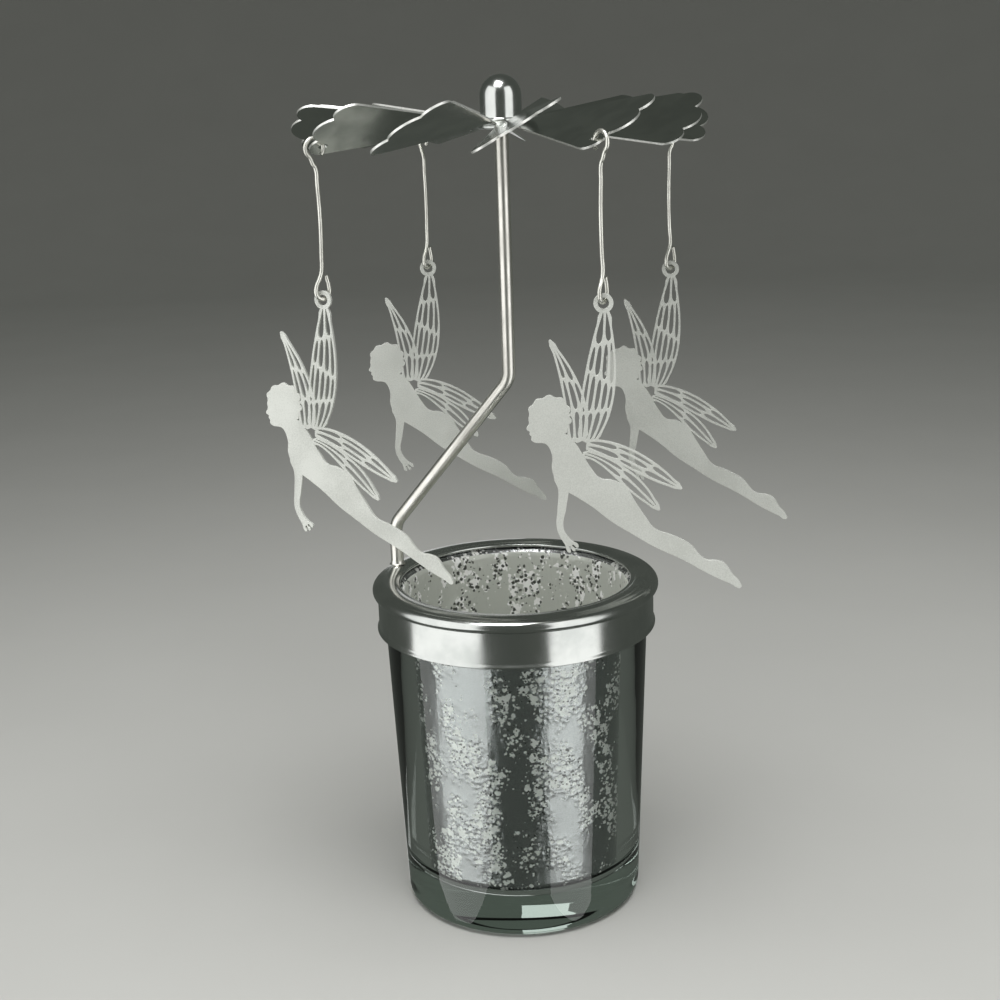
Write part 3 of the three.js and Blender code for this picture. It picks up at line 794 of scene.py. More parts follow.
@dataclass
class Cup:
    """The glass cup and the silver film that lines it."""

    height: float = 66.2 * MM
    base_radius: float = 24.0 * MM
    rim_radius: float = 26.6 * MM
    wall: float = 4.2 * MM
    rim_share: float = 0.49
    floor: float = 7.2 * MM
    heel: float = 2.2 * MM
    corner: float = 3.4 * MM
    kick: float = 0.7 * MM
    foot_ring: float = 4.5 * MM
    film: float = 0.04 * MM
    film_gap: float = 0.05 * MM
    segments: int = 144
    dish_steps: int = 10
    bend_steps: int = 8

    def outside(self, height: float) -> float:
        """The outer radius at a height."""
        return self.base_radius + (self.rim_radius - self.base_radius) * height / self.height

    def inside(self, height: float) -> float:
        """The inner radius at a height."""
        return self.outside(height) - self.wall

    @property
    def rim_round(self) -> float:
        """The rounding of the rim's two edges, which nearly meet."""
        return self.rim_share * self.wall

    def build_glass(self) -> Object:
        """Turn the closed glass wall with its hollow underside, its thick floor and its round rim.

        Returns:
            The glass.
        """
        hollow = self.base_radius - self.heel - self.foot_ring
        dish = (hollow ** 2 + self.kick ** 2) / (2 * self.kick)
        spread = math.degrees(math.asin(hollow / dish))
        outline = rounded([
            *arc((0.0, self.kick - dish), dish, 90.0, 90.0 - spread, self.dish_steps),
            at(self.outside(0.0), 0.0, self.heel),
            at(self.outside(self.height), self.height, self.rim_round),
            at(self.inside(self.height), self.height, self.rim_round),
            at(self.inside(self.floor), self.floor, self.corner),
            at(0.0, self.floor),
        ], self.bend_steps)
        return turned("cup_glass", outline, self.segments)

    def build_film(self) -> Object:
        """Turn the film just inside the glass, up to the crest of the rim, and give it its thickness.

        Returns:
            The film, whose faces towards the candle have the second finish's number.
        """
        gap = self.film_gap
        low = self.floor + gap
        crest = self.height + gap
        outline = rounded([
            at(0.0, low),
            at(self.inside(low) - gap, low, self.corner),
            at(self.inside(crest) - gap, crest, self.rim_round + gap),
            at(self.inside(crest) + self.rim_round, crest),
        ], self.bend_steps)
        film = turned("cup_film", outline, self.segments)
        apply_modifier(film, "SOLIDIFY", thickness=self.film, offset=0.0)
        close_up(film)
        middle = Vector((0.0, 0.0, self.height / 2))
        for face in film.data.polygons:
            looks_in = face.normal.dot(middle - face.center) > 0
            face.material_index = 1 if looks_in else 0
        return film

    def dress(self) -> None:
        """Build and finish both pieces, with a drier finish on the film's open side."""
        fit(self.build_glass(), "cup", [CUP_GLASS], "glass_cup")
        fit(self.build_film(), "cup", [MIRROR_SIDE, DRY_SIDE])


@dataclass
class Stand:
    """The pressed collar and the bent post that is welded to it."""

    cup: Cup
    sheet: float = 0.7 * MM
    height: float = 9.3 * MM
    ledge: float = 3.9 * MM
    crown: float = 0.35 * MM
    bead_hollow: float = 0.55 * MM
    bead_reach: float = 1.0 * MM
    lip_reach: float = 0.35 * MM
    lip_height: float = 0.9 * MM
    lip_bend: float = 0.8 * MM
    lip_bend_inside: float = 0.5 * MM
    lip_edge: float = 0.2 * MM
    lip_foot: float = 0.15 * MM
    hole_edge: float = 0.315 * MM
    post_radius: float = 1.3 * MM
    post_azimuth: float = 157.0
    post_inset: float = 1.15 * MM
    lower_bend: float = 8.6 * MM
    upper_bend: float = 39.6 * MM
    bend_radius: float = 5.0 * MM
    needle_length: float = 4.0 * MM
    needle_point: float = 0.2 * MM
    needle_tip: float = 0.065 * MM
    weld_radius: float = 1.65 * MM
    weld_height: float = 1.2 * MM
    weld_bite: float = 0.026 * MM
    segments: int = 144
    weld_segments: int = 32
    crown_steps: int = 12
    bead_steps: int = 14
    hollow_steps: int = 8
    bend_steps: int = 12
    weld_steps: int = 8

    @property
    def top(self) -> float:
        """The height of the collar's top sheet."""
        return self.cup.height + SEAT_GAP + self.sheet

    @property
    def skirt(self) -> float:
        """The skirt's outer radius."""
        return self.cup.rim_radius + LOOSE_GAP + self.sheet

    @property
    def bead(self) -> float:
        """The bead's own radius."""
        return self.bead_hollow + self.sheet

    @property
    def bead_centre(self) -> float:
        """How far the bead's middle lies from the axis."""
        return self.skirt + self.bead_reach - self.bead

    def build_collar(self) -> Object:
        """Turn the collar: a crowned top, a rolled bead, a plain skirt and a flared lip.

        Returns:
            The collar.
        """
        hole = self.skirt - self.sheet - self.ledge
        underside = self.top - self.sheet
        foot = self.top - self.height
        inner = self.skirt - self.sheet
        bead_height = self.top - self.bead
        crease = math.degrees(math.acos((self.skirt - self.bead_centre) / self.bead))
        seam = at((hole + inner) / 2, underside)
        crown = []
        for step in range(self.crown_steps):
            share = step / self.crown_steps
            radius = hole + self.sheet + (self.bead_centre - hole - self.sheet) * share
            crown.append(at(radius, self.top + 4 * self.crown * share * (1 - share)))
        outline = rounded([
            seam,
            at(hole, underside, self.hole_edge),
            at(hole, self.top, self.hole_edge),
            *crown,
            *arc((self.bead_centre, bead_height), self.bead, 90.0, -crease, self.bead_steps),
            at(self.skirt, foot + self.lip_height, self.lip_bend),
            at(self.skirt + self.lip_reach, foot + self.sheet / 2, self.lip_edge),
            at(self.skirt + self.lip_reach, foot, self.lip_foot),
            at(inner + self.lip_reach, foot, self.lip_edge),
            at(inner, foot + self.lip_height, self.lip_bend_inside),
            at(inner, bead_height - self.bead_hollow),
            *arc((self.bead_centre, bead_height), self.bead_hollow, -90.0, 90.0, self.hollow_steps),
            seam,
        ])
        return turned("collar_pressing", outline, self.segments)

    def build_post(self) -> Object:
        """Bend the post from its foot to the needle point, and run a fillet of weld round its foot.

        Returns:
            The post.
        """
        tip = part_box("post")[1].z
        foot = self.top + self.crown + SEAT_GAP
        azimuth = math.radians(self.post_azimuth)
        across = Vector((math.cos(azimuth), math.sin(azimuth), 0.0)) * (self.bead_centre - self.post_inset)
        route = rounded([
            (across + Vector((0.0, 0.0, foot)), 0.0),
            (across + Vector((0.0, 0.0, foot + self.lower_bend)), self.bend_radius),
            at(0.0, foot + self.upper_bend, self.bend_radius),
            at(0.0, tip - self.needle_length),
            at(0.0, tip - self.needle_point),
            at(0.0, tip),
        ], self.bend_steps)
        taper = [1.0, self.needle_point / self.post_radius, self.needle_tip / self.post_radius]
        post = rod("post_rod", route, self.post_radius, smooth=False, point=taper)
        fillet = [at(0.0, foot)]
        reach = self.weld_radius - self.post_radius + self.weld_bite
        for step in range(self.weld_steps + 1):
            turn = math.pi / 2 * step / self.weld_steps
            rise_here = self.weld_height * (1 - math.cos(turn))
            fillet.append(at(self.weld_radius - reach * math.sin(turn), foot + rise_here))
        fillet.append(at(0.0, foot + self.weld_height))
        weld = turned("weld", rounded(fillet), self.weld_segments)
        combine(post, settle(weld, Matrix.Translation(across)), Solid.JOIN)
        close_up(post)
        return post

    def dress(self) -> None:
        """Build and finish both pieces."""
        fit(self.build_collar(), "stand", [CHROME_PLATE], "collar")
        fit(self.build_post(), "stand", [ROD_PLATE_PAINTED_LIGHT], "post")


@dataclass
class Rotor:
    """The pivot cap, its washer and the twelve-bladed fan between them."""

    post_radius: float
    bore_play: float = 0.6 * MM
    spigot_wall: float = 0.8 * MM
    cap_radius: float = 3.9 * MM
    cap_crown: float = 2.8 * MM
    flange: float = 0.45 * MM
    flange_height: float = 0.6 * MM
    flange_edge: float = 0.25 * MM
    flange_root: float = 0.12 * MM
    spigot_edge: float = 0.15 * MM
    washer_width: float = 1.7 * MM
    washer_rim: float = 0.3 * MM
    washer_corner: float = 0.1 * MM
    hub_margin: float = 0.7 * MM
    hub_proud: float = 0.02 * MM
    blade_count: int = 12
    pitch: float = 29.0
    reach: float = 38.9 * MM
    width: float = 17.2 * MM
    sheet: float = 0.4 * MM
    middle_lobe: float = 4.2 * MM
    side_lobe: float = 3.0 * MM
    side_setback: float = 1.5 * MM
    side_offset: float = 5.6 * MM
    neck: float = 2.2 * MM
    twist: float = 4.0 * MM
    hole_radius: float = 0.85 * MM
    hole_land: float = 1.6 * MM
    edge: float = 0.06 * MM
    edge_angle: float = 60.0
    crease: float = 30.0
    cap_segments: int = 64
    dome_steps: int = 20
    hub_segments: int = 96
    hole_segments: int = 40
    blade_rows: int = 18
    middle_steps: int = 8
    side_steps: int = 14

    @property
    def bore(self) -> float:
        """The cap's bore."""
        return self.post_radius + self.bore_play

    @property
    def spigot(self) -> float:
        """The cap's spigot, which passes through the hub."""
        return self.bore + self.spigot_wall

    @property
    def washer_edge(self) -> float:
        """The washer's outer radius."""
        return self.spigot + SEAT_GAP + self.washer_width

    @property
    def hub(self) -> float:
        """The hub's outer radius."""
        return self.washer_edge + self.hub_margin

    @property
    def fan_height(self) -> float:
        """The height of the fan's middle plane."""
        low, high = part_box("fan")
        return (low.z + high.z) / 2

    def build_cap(self) -> Object:
        """Turn the domed cap with its flange, its spigot and its blind bore.

        Returns:
            The cap.
        """
        low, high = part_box("pivot_cap")
        seat = self.fan_height + self.sheet / 2 + SEAT_GAP
        bore_end = high.z - self.cap_crown
        dome = high.z - self.cap_radius
        rim = self.cap_radius + self.flange
        outline = rounded([
            at(0.0, bore_end),
            at(self.bore, bore_end - self.bore),
            at(self.bore, low.z, self.spigot_edge),
            at(self.spigot, low.z, self.spigot_edge),
            at(self.spigot, seat),
            at(rim, seat, self.flange_root),
            at(rim, seat + self.flange_height, self.flange_edge),
            at(self.cap_radius, seat + self.flange_height, self.flange_root),
            *arc((0.0, dome), self.cap_radius, 0.0, 90.0, self.dome_steps),
        ])
        return turned("cap_turning", outline, self.cap_segments)

    def build_washer(self) -> Object:
        """Turn the washer with softened edges.

        Returns:
            The washer.
        """
        low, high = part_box("cap_washer")
        hole = self.spigot + SEAT_GAP
        seam = at((hole + self.washer_edge) / 2, high.z)
        outline = rounded([
            seam,
            at(hole, high.z, self.washer_corner),
            at(hole, low.z, self.washer_corner),
            at(self.washer_edge, low.z, self.washer_rim),
            at(self.washer_edge, high.z, self.washer_corner),
            seam,
        ])
        return turned("washer_turning", outline, self.cap_segments)

    def end_outline(self) -> list[Pair]:
        """Draw the blade's scalloped end: a middle lobe that meets a lobe on each side in a notch.

        Returns:
            Its points, across the blade and along it.
        """
        side_reach = self.reach - self.side_setback - self.side_lobe
        middle_reach = self.reach - self.middle_lobe
        rise = side_reach - middle_reach
        apart = math.hypot(self.side_offset, rise)
        along = (apart ** 2 + self.middle_lobe ** 2 - self.side_lobe ** 2) / (2 * apart)
        height = math.sqrt(self.middle_lobe ** 2 - along ** 2)
        notch_across = (along * self.side_offset - height * rise) / apart
        notch_along = (along * rise + height * self.side_offset) / apart
        middle_turn = math.atan2(notch_along, notch_across)
        side_turn = math.atan2(notch_along - rise, notch_across - self.side_offset)
        half = []
        for step in range(self.middle_steps):
            angle = math.pi / 2 + (middle_turn - math.pi / 2) * step / self.middle_steps
            across = self.middle_lobe * math.cos(angle)
            half.append((across, middle_reach + self.middle_lobe * math.sin(angle)))
        for step in range(self.side_steps + 1):
            angle = side_turn * (1 - step / self.side_steps)
            across = self.side_offset + self.side_lobe * math.cos(angle)
            half.append((across, side_reach + self.side_lobe * math.sin(angle)))
        return [(-across, along) for across, along in reversed(half[1:])] + half

    @staticmethod
    def lay_finishes(obj: Object) -> None:
        """Give a part of the fan the sheet's finish and the sheared edge's painted highlight."""
        for finish in FAN_FINISHES:
            obj.data.materials.append(finish.make())

    def build_blade(self) -> Object:
        """Shape one blade along +X from a flat grid: widened to its scalloped end and twisted at its neck.

        Returns:
            The blade, with the second finish on its edges.
        """
        end = self.end_outline()
        columns = len(end) - 1
        take()
        bpy.ops.mesh.primitive_grid_add(x_subdivisions=self.blade_rows, y_subdivisions=columns, size=2.0)
        blade = bpy.context.object
        blade.name = "blade"
        start = self.hub - self.neck / 2
        shoulder = end[0][1]
        half = self.side_offset + self.side_lobe
        turn = math.radians(self.pitch)
        for vertex in blade.data.vertices:
            across, along = end[round((vertex.co.y + 1) / 2 * columns)]
            reach = start + (along - start) * (vertex.co.x + 1) / 2
            share = min(max((reach - self.hub) / (shoulder - self.hub), 0.0), 1.0)
            spread = across * (self.neck / 2 + (self.width / 2 - self.neck / 2) * share) / half
            bend = min(max((reach - self.hub) / self.twist, 0.0), 1.0)
            angle = turn * bend * bend * (3 - 2 * bend)
            vertex.co = (reach, spread * math.cos(angle), spread * math.sin(angle))
        close_up(blade)
        self.lay_finishes(blade)
        apply_modifier(
            blade, "SOLIDIFY", thickness=self.sheet, offset=0.0, use_even_offset=True, material_offset_rim=1
        )
        apply_modifier(
            blade, "BEVEL", width=self.edge, segments=2, limit_method="ANGLE",
            angle_limit=math.radians(self.edge_angle), material=1,
        )
        return blade

    def build_fan(self) -> Object:
        """Set the blades round the hub, punch the four holes and lift the fan to its place.

        Returns:
            The fan.
        """
        hole = self.spigot + SEAT_GAP
        half = self.sheet / 2 + self.hub_proud
        seam = at((hole + self.hub) / 2, half)
        fan = turned("fan_stamping", rounded([
            seam,
            at(hole, half, self.edge),
            at(hole, -half, self.edge),
            at(self.hub, -half, self.edge),
            at(self.hub, half, self.edge),
            seam,
        ]), self.hub_segments)
        self.lay_finishes(fan)
        first = hung_turn("hanger_3_swing")
        blade = self.build_blade()
        for index in range(self.blade_count):
            spoke = copied(blade, "spoke")
            turn = first + 2 * math.pi * index / self.blade_count
            combine(fan, settle(spoke, Matrix.Rotation(turn, 4, "Z")), Solid.JOIN)
        bpy.data.objects.remove(blade)
        pitch = math.radians(self.pitch)
        hole_reach = self.reach - self.side_setback - self.hole_land - self.hole_radius
        aside = -self.side_offset
        centre = Vector((hole_reach, aside * math.cos(pitch), aside * math.sin(pitch)))
        for number in HUNG:
            azimuth = Matrix.Rotation(hung_turn(f"hanger_{number}_swing"), 4, "Z")
            place = azimuth @ Matrix.Translation(centre) @ Matrix.Rotation(pitch, 4, "X")
            punch(fan, self.hole_radius, 5 * self.sheet, place, self.hole_segments)
        settle(fan, Matrix.Translation((0.0, 0.0, self.fan_height)))
        close_up(fan, self.crease)
        return fan

    def dress(self) -> None:
        """Build and finish the three pieces."""
        fit(self.build_cap(), "rotor", [CHROME_PLATE], "pivot_cap")
        fit(self.build_washer(), "rotor", [CHROME_PLATE], "cap_washer")
        fit(self.build_fan(), "rotor", FAN_FINISHES, "fan")


@dataclass
class Hanger:
    """A wire hanger: an open eye over the blade's edge, a shank and a teardrop loop."""

    # The eye's free end and where it turns to the shank, in degrees
    EYE = (222.0, -55.0)
    # The loop's two sides, in shares of its half width and of its height from its top
    LOOP_DOWN = ((-1 / 3, 1 / 3), (-0.85, 0.7))
    LOOP_UP = ((0.95, 0.7), (0.8, 0.45), (0.62, 0.2))

    rotor: Rotor
    plate_thickness: float
    radius: float = 0.4 * MM
    length: float = 26.6 * MM
    loop_height: float = 3.6 * MM
    loop_skew: float = 34.0
    bow: float = 0.35 * MM
    eye_steps: int = 20
    shank_steps: int = 6
    loop_steps: int = 10

    def route(self, loop_turn: float) -> list[Vector]:
        """Lay out the wire's middle line.

        Args:
            loop_turn: The loop's turn about the shank from the eye's plane.

        Returns:
            The points from the eye's free end to the loop's, from the eye's centre.
        """
        play = 2 * LOOSE_GAP
        lift = (self.radius + self.rotor.sheet / 2 + play) / math.cos(math.radians(self.rotor.pitch))
        half_span = (self.rotor.hole_radius + self.rotor.hole_land + play + self.radius) / 2
        eye = (lift ** 2 + half_span ** 2) / (2 * lift)
        skew = math.radians(self.loop_skew)
        rim = (self.plate_thickness / 2 + self.radius * math.sin(skew)) / math.cos(skew)
        loop = rim + LOOSE_GAP + self.radius
        points = [corner for corner, _ in arc((0.0, 0.0), eye, *self.EYE, self.eye_steps)]
        shank_top = -eye - 4 * self.radius
        middle = loop - self.length
        top = middle + self.loop_height
        points.append(Vector((self.radius, 0.0, (shank_top - eye) / 2 - self.radius / 2)))
        for step in range(self.shank_steps + 1):
            share = step / self.shank_steps
            bow = -self.bow * math.sin(math.pi * share)
            points.append(Vector((bow, 0.0, shank_top + (top - shank_top) * share)))
        loop_line = [
            *[at(loop * across, top - self.loop_height * down) for across, down in self.LOOP_DOWN],
            *arc((0.0, middle), loop, 180.0, 360.0, self.loop_steps),
            *[at(loop * across, top - self.loop_height * down) for across, down in self.LOOP_UP],
        ]
        turn = Matrix.Rotation(loop_turn, 3, "Z")
        return points + [turn @ corner for corner, _ in loop_line]

    def dress(self) -> None:
        """Bend and finish the four hangers."""
        for number in HUNG:
            azimuth = hung_turn(f"hanger_{number}_swing")
            skewed = hung_turn(f"fairy_{number}_swing") + math.pi / 2 - math.radians(self.loop_skew)
            hanger = rod(f"hanger_wire_{number}", self.route(skewed - azimuth), self.radius, smooth=True)
            place = Matrix.Translation(hung_place(f"hanger_{number}_swing"))
            settle(hanger, place @ Matrix.Rotation(azimuth, 4, "Z"))
            fit(hanger, f"hung_wire_{number}", [DRAWN_WIRE_PAINTED_LIGHT], f"hanger_{number}")


@dataclass
class Wing:
    """A wing between a leading and a trailing edge, each a Bezier curve from its root to its tip."""

    # How many points an edge is drawn and measured with, and how many a cut-out's side has
    EDGE_POINTS = 10
    SAMPLES = 101
    CELL_STEPS = 8
    # The least width of a cut-out in times the usual one, and how far the rows' ends slant across the wing
    LEAST_CELL = 0.4
    SLANT = 0.3

    lead: tuple[Pair, ...]
    trail: tuple[Pair, ...]
    rows: int

    @staticmethod
    def along(edge: Sequence[Pair], share: float) -> Vector:
        """Find a point of an edge.

        Args:
            edge: The four points of its Bezier curve.
            share: The curve's parameter, 0 at the root and 1 at the tip.

        Returns:
            The point.
        """
        rest = 1 - share
        weights = (rest ** 3, 3 * rest ** 2 * share, 3 * rest * share ** 2, share ** 3)
        return sum((Vector((*pair, 0.0)) * weight for pair, weight in zip(edge, weights)), Vector())

    def span(self, share: float) -> float:
        """The wing's width at a parameter of its edges."""
        return (self.along(self.lead, share) - self.along(self.trail, share)).length

    def outline(self) -> list[Vector]:
        """Run up the leading edge and down the trailing one.

        Returns:
            The wing's outline.
        """
        shares = [k / (self.EDGE_POINTS - 1) for k in range(self.EDGE_POINTS)]
        up = [self.along(self.lead, share) for share in shares]
        down = [self.along(self.trail, share) for share in reversed(shares)]
        return up + down

    def openings(self, vein: float, cell_width: float) -> list[list[Vector]]:
        """Lay out the cut-outs between the veins, in rows that hold as many cells as fit across the wing.

        Args:
            vein: The width of the veins, in the figure's units.
            cell_width: The usual width of a cut-out, in the figure's units.

        Returns:
            The points of each cut-out.
        """
        shares = [k / (self.SAMPLES - 1) for k in range(self.SAMPLES)]
        least_span = 2 * vein + self.LEAST_CELL * cell_width
        wide = [share for share in shares if self.span(share) >= least_span]
        start = wide[0]
        row_length = (wide[-1] - start) / self.rows
        points = [self.along(self.lead, share) for share in shares]
        length = sum((after - before).length for before, after in zip(points, points[1:]))
        half_vein = vein / 2 / length
        loops = []
        for row in range(self.rows):
            first = start + row * row_length
            strips = max(1, int((self.span(first + row_length / 2) - vein) / (vein + cell_width) + 0.5))
            for strip in range(strips):
                middle = (strip + 0.5) / strips - 0.5
                slant = self.SLANT * row_length * middle * (1 if row % 2 else -1)
                low = first + half_vein
                high = first + row_length - half_vein
                if row > 0:
                    low += slant
                if row < self.rows - 1:
                    high -= slant
                loops.append(self.cell(strip / strips, (strip + 1) / strips, (low, high), vein))
        return loops

    def cell(self, inner: float, outer: float, reach: Pair, vein: float) -> list[Vector]:
        """Draw one cut-out with round ends.

        Args:
            inner: The share of the wing's width where its strip begins.
            outer: The share of the wing's width where its strip ends.
            reach: The shares of the wing's length where it begins and ends.
            vein: The width of the veins round it.

        Returns:
            Its points, out along one side and back along the other.
        """
        near = []
        far = []
        for step in range(self.CELL_STEPS + 1):
            share = (1 - math.cos(math.pi * step / self.CELL_STEPS)) / 2
            swell = math.sqrt(1 - abs(2 * share - 1) ** 3)
            station = reach[0] + (reach[1] - reach[0]) * share
            lead = self.along(self.lead, station)
            trail = self.along(self.trail, station)
            rim = vein / (trail - lead).length
            left = inner + (rim if inner == 0.0 else rim / 2)
            right = outer - (rim if outer == 1.0 else rim / 2)
            half = swell * (right - left) / 2
            near.append(lead.lerp(trail, (left + right) / 2 - half))
            far.append(lead.lerp(trail, (left + right) / 2 + half))
        return near + far[-2:0:-1]


@dataclass
class Fairy:
    """A flat etched fairy, drawn from its ring's centre in hundredths of its height, x towards the toes."""

    wire_radius: float
    height: float = 51.5 * MM
    thickness: float = 0.6 * MM
    ring_play: float = 0.55 * MM
    ring_rim: float = 0.75 * MM
    vein: float = 0.4 * MM
    cell_width: float = 0.64 * MM
    edge: float = 0.05 * MM
    layer: float = 0.004 * MM
    crease: float = 15.0
    ring_points: int = 24
    hole_segments: int = 48
    body_steps: int = 6
    limb_steps: int = 5
    wing_steps: int = 2
    ring_steps: int = 3
    wings: tuple[Wing, ...] = (
        Wing(
            ((-8.9, -45.8), (-9.3, -33), (-5, -14.6), (-0.8, -2.3)),
            ((-3.1, -46.4), (5.4, -35.9), (5, -18.4), (1.7, -2.3)), rows=4,
        ),
        Wing(
            ((-12.4, -45.8), (-13.2, -35.9), (-14.4, -24.3), (-18.4, -11.9)),
            ((-6.6, -45.8), (-3.3, -34), (-9.7, -21.7), (-17.7, -11.6)), rows=3,
        ),
        Wing(
            ((-5, -45.8), (6.2, -46.2), (18.3, -54), (26, -63.8)),
            ((-6.6, -49.3), (3.9, -52.8), (13.6, -61.7), (25.4, -64.3)), rows=3,
        ),
        Wing(
            ((-5.8, -49.7), (4.7, -53.2), (14.4, -60.2), (18.4, -71)),
            ((-8.2, -51.7), (0.8, -53.6), (4.7, -64.5), (17.8, -71.5)), rows=2,
        ),
    )
    body: tuple[Pair, ...] = (
        (-21.2, -45.2), (-19.2, -48), (-18.1, -51.7), (-18.3, -55.7), (-17.1, -59.6), (-14.6, -62.7),
        (-9.7, -66), (-4.7, -69.5), (1.9, -75), (8.9, -79.6), (15.9, -84.1), (26, -89.3), (36.1, -95.3),
        (42.7, -98.6), (46.2, -100), (46, -98.3), (43.3, -95), (40.4, -90.9), (37.7, -89.9),
        (34.2, -89.5), (28.3, -83.5), (22.1, -80.2), (16.7, -77.9), (13.2, -73.2), (9.7, -67.6),
        (6.6, -62.5), (2.3, -60.2), (-1.9, -59.4), (-5, -55.7), (-7.8, -50.9), (-10.5, -46.6),
        (-14.8, -43.1),
    )
    head: tuple[Pair, ...] = (
        (-18.2, -47.2), (-21.2, -46.6), (-24.1, -46.2), (-25.1, -45.2), (-25, -44.2), (-25.6, -43.4),
        (-25.5, -42.6), (-26.5, -41.7), (-25.7, -39.8), (-25.8, -38.2), (-25.5, -36.6), (-25.7, -34.6),
        (-24.3, -33.3), (-22.9, -31.5), (-21, -31.3), (-18.6, -30.2), (-16.6, -31.2), (-14.2, -31.4),
        (-13.3, -33.4), (-11.6, -35), (-12.2, -37.2), (-11.2, -39.3), (-12.6, -41), (-13, -43.2),
        (-14.8, -43.6), (-15.3, -44.8),
    )
    arm: tuple[Pair, ...] = (
        (-17.3, -57.5), (-16.3, -63.3), (-16.7, -69.9), (-17.1, -76.5), (-15.9, -80), (-14.4, -82.6),
        (-13.2, -85.4), (-12.4, -85.2), (-12.9, -83.2), (-11.5, -85), (-10.8, -84.6), (-11.9, -82.7),
        (-10.1, -83.8), (-9.7, -83.2), (-11.8, -81.3), (-13.6, -79.2), (-14.8, -76.1), (-13.8, -69.9),
        (-12.6, -62.9), (-12, -57.1),
    )

    @property
    def unit(self) -> float:
        """The figure's unit, in metres."""
        return self.height / 100

    def cut(self, name: str, lines: Sequence[Sequence[Vector]], order: int, steps: int) -> Object:
        """Cut one part of the figure, a hair thinner than the part before so that no two faces coincide.

        Args:
            name: The part's name.
            lines: Its outline and openings, in the figure's units.
            order: How many parts come before it.
            steps: How many chords a bend between two points is drawn with.

        Returns:
            The part.
        """
        scaled = [[point * self.unit for point in line] for line in lines]
        return plate(name, scaled, self.thickness - order * self.layer, self.edge, steps)

    def circle(self, radius: float) -> list[Vector]:
        """Draw a circle about the ring's centre.

        Args:
            radius: Its radius, in metres.

        Returns:
            Its points, in the figure's units.
        """
        chords = self.ring_points - 1
        last = 360.0 * chords / self.ring_points
        points = [corner / self.unit for corner, _ in arc((0.0, 0.0), radius, 0.0, last, chords)]
        return [Vector((point.x, point.z, 0.0)) for point in points]

    def build(self) -> Object:
        """Join the body, head, arm and wings, and open the ring.

        Returns:
            The figure, with its ring's centre at the origin.
        """
        figure = self.cut("fairy", [[Vector((*pair, 0.0)) for pair in self.body]], 0, self.body_steps)
        limbs = (self.head, self.arm)
        for order, outline in enumerate(limbs, start=1):
            limb = [Vector((*pair, 0.0)) for pair in outline]
            combine(figure, self.cut("limb", [limb], order, self.limb_steps), Solid.JOIN)
        vein = self.vein / self.unit
        cell_width = self.cell_width / self.unit
        first_wing = 1 + len(limbs)
        for order, wing in enumerate(self.wings, start=first_wing):
            loops = [wing.outline(), *wing.openings(vein, cell_width)]
            combine(figure, self.cut("wing", loops, order, self.wing_steps), Solid.JOIN)
        hole = self.wire_radius + self.ring_play
        upright = Matrix.Rotation(math.pi / 2, 4, "X")
        punch(figure, hole + self.ring_rim / 2, 3 * self.thickness, upright, self.hole_segments)
        rims = [self.circle(hole + self.ring_rim), self.circle(hole)]
        last = first_wing + len(self.wings)
        combine(figure, self.cut("ring", rims, last, self.ring_steps), Solid.JOIN)
        close_up(figure, self.crease)
        return figure

    def dress(self) -> None:
        """Hang and finish the four fairies."""
        pattern = self.build()
        for number in HUNG:
            joint = f"fairy_{number}_swing"
            fairy = copied(pattern, f"fairy_plate_{number}")
            settle(fairy, Matrix.Translation(hung_place(joint)) @ Matrix.Rotation(hung_turn(joint), 4, "Z"))
            fit(fairy, f"hung_fairy_{number}", [ETCHED_PLATE], f"fairy_{number}")
        bpy.data.objects.remove(pattern)


# Studio


@dataclass
class Softbox:
    """A rectangular soft light that faces a point, with its width, its height and its power in watts."""

    name: str
    place: Triple
    target: Triple
    size: Pair
    power: float
    lit: Lit
    mirrored: bool = True

    def build(self, floor: Object) -> None:
        """Set up the light, out of the camera's own sight.

        Args:
            floor: The floor, which the light is kept to or kept off.
        """
        bpy.ops.object.light_add(type="AREA", location=self.place)
        lamp = bpy.context.object
        lamp.name = self.name
        lamp.data.shape = "RECTANGLE"
        lamp.data.size, lamp.data.size_y = self.size
        lamp.data.energy = self.power
        lamp.visible_camera = False
        lamp.visible_glossy = self.mirrored
        lamp.visible_transmission = self.mirrored
        towards = Vector(self.target) - Vector(self.place)
        lamp.rotation_euler = towards.to_track_quat("-Z", "Y").to_euler()
        reach = bpy.data.collections.new(self.name + "_reach")
        reach.objects.link(floor)
        reach.collection_objects[0].light_linking.link_state = self.lit.value
        lamp.light_linking.receiver_collection = reach


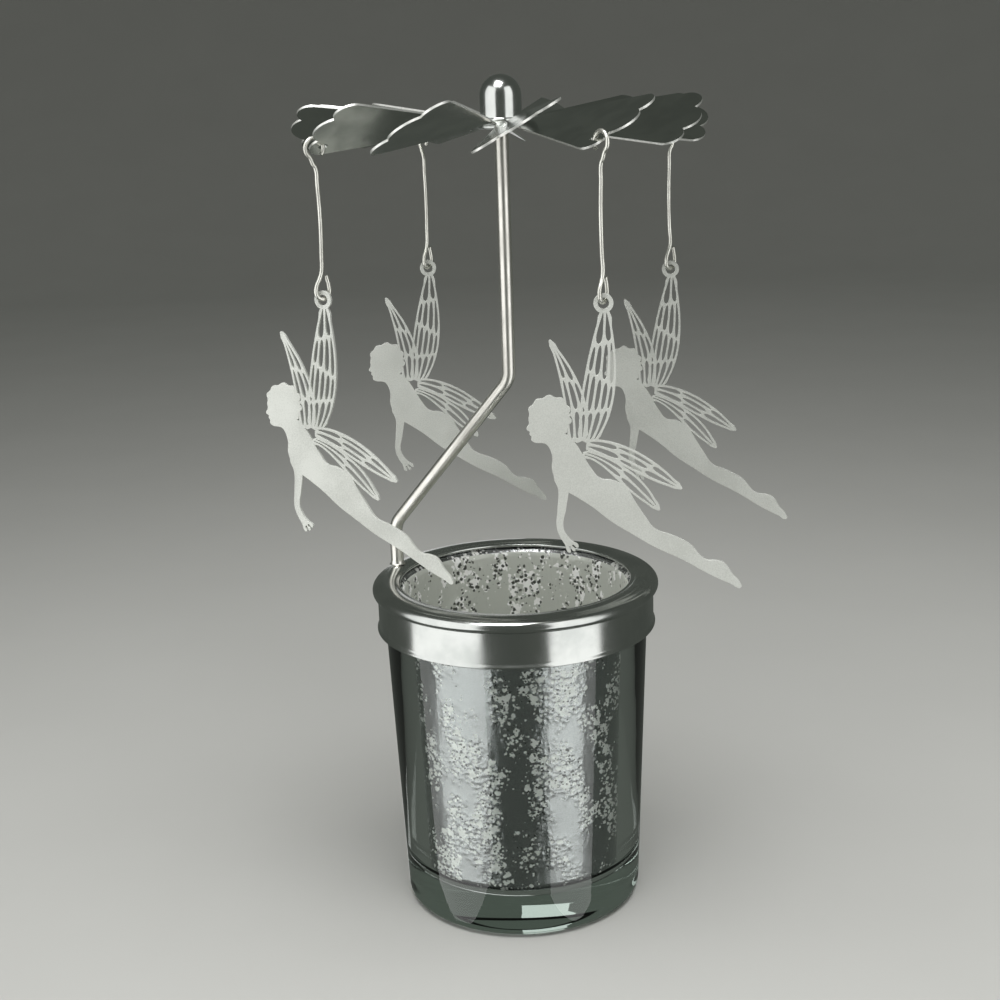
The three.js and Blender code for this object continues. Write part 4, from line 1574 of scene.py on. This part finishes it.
@dataclass
class Studio:
    """A round pale floor that sweeps up to a wall, soft lights and the photograph's camera."""

    floor_drop: float = 0.05 * MM
    floor_radius: float = 1.8
    sweep: float = 0.7
    wall_top: float = 2.2
    camera_place: Triple = (-2.51 * MM, -294.32 * MM, 159.43 * MM)
    camera_pitch: float = 14.573
    camera_roll: float = -1.862
    lens: float = 55.27
    floor_segments: int = 96
    sweep_steps: int = 24
    world_colour: str = "#525651"
    # The tall lights reach below the floor, so that metal and silver mirror them down to their foot
    # The rear fill is taken by matt faces only
    lights: tuple[Softbox, ...] = (
        Softbox("left_box", (-0.35, -0.194, 0.125), (0.0, 0.0, 0.125), (0.5, 0.85), 1.87, Lit.OBJECT),
        Softbox("right_box", (0.29, -0.27, 0.125), (0.0, 0.0, 0.125), (0.32, 0.85), 1.2, Lit.OBJECT),
        Softbox("top_box", (-0.1, -0.25, 0.75), (0.0, 0.0, 0.1), (0.35, 0.35), 5.0, Lit.OBJECT),
        Softbox("back_box", (-0.04, 0.42, -0.12), (0.0, 0.0, -0.12), (0.1, 0.5), 0.1, Lit.OBJECT),
        Softbox("rear_fill", (0.1, 0.55, 0.35), (0.0, 0.0, 0.1), (0.5, 0.5), 4.0, Lit.OBJECT, False),
        Softbox("floor_box", (0.0, -0.15, 0.45), (0.0, -0.15, 0.0), (0.4, 0.4), 2.6, Lit.FLOOR),
        Softbox("room_box", (0.0, 0.0, 1.6), (0.0, 0.0, 0.0), (1.5, 1.5), 5.0, Lit.FLOOR),
    )

    def build_floor(self) -> Object:
        """Turn the floor and its wall.

        Returns:
            The floor.
        """
        floor = turned("floor", rounded([
            at(0.0, -self.floor_drop),
            at(self.floor_radius, -self.floor_drop, self.sweep),
            at(self.floor_radius, self.wall_top),
        ], self.sweep_steps), self.floor_segments)
        floor.visible_shadow = False
        floor.data.materials.append(FLOOR_PAINT.make())
        return floor

    def build_lights(self, floor: Object) -> None:
        """Set up the soft lights and a dim grey room.

        Args:
            floor: The floor, which has lights of its own.
        """
        for light in self.lights:
            light.build(floor)
        world = bpy.data.worlds.new("dim_room")
        world.use_nodes = True
        world.node_tree.nodes["Background"].inputs["Color"].default_value = linear(self.world_colour)
        bpy.context.scene.world = world
        bpy.context.scene.view_settings.view_transform = "Standard"

    def build_camera(self) -> None:
        """Stand the camera where the photograph was taken from."""
        pitch = math.radians(self.camera_pitch)
        roll = math.radians(self.camera_roll)
        level = Vector((1.0, 0.0, 0.0))
        upright = Vector((0.0, math.sin(pitch), math.cos(pitch)))
        right = level * math.cos(roll) + upright * math.sin(roll)
        upward = upright * math.cos(roll) - level * math.sin(roll)
        place = Matrix((right, upward, right.cross(upward))).transposed().to_4x4()
        place.translation = Vector(self.camera_place)
        bpy.ops.object.camera_add()
        camera = bpy.context.object
        camera.matrix_world = place
        camera.data.lens = self.lens
        bpy.context.scene.camera = camera

    def build(self) -> None:
        """Build the whole studio."""
        take()
        self.build_camera()
        self.build_lights(self.build_floor())


def main() -> None:
    """Build the studio and the candle holder, piece by piece."""
    logging.basicConfig(level=logging.INFO, format="%(name)s: %(message)s")
    Studio().build()
    cup = Cup()
    cup.dress()
    stand = Stand(cup)
    stand.dress()
    rotor = Rotor(stand.post_radius)
    rotor.dress()
    fairy = Fairy(Hanger.radius)
    Hanger(rotor, fairy.thickness).dress()
    fairy.dress()


if __name__ == "__main__":
    main()
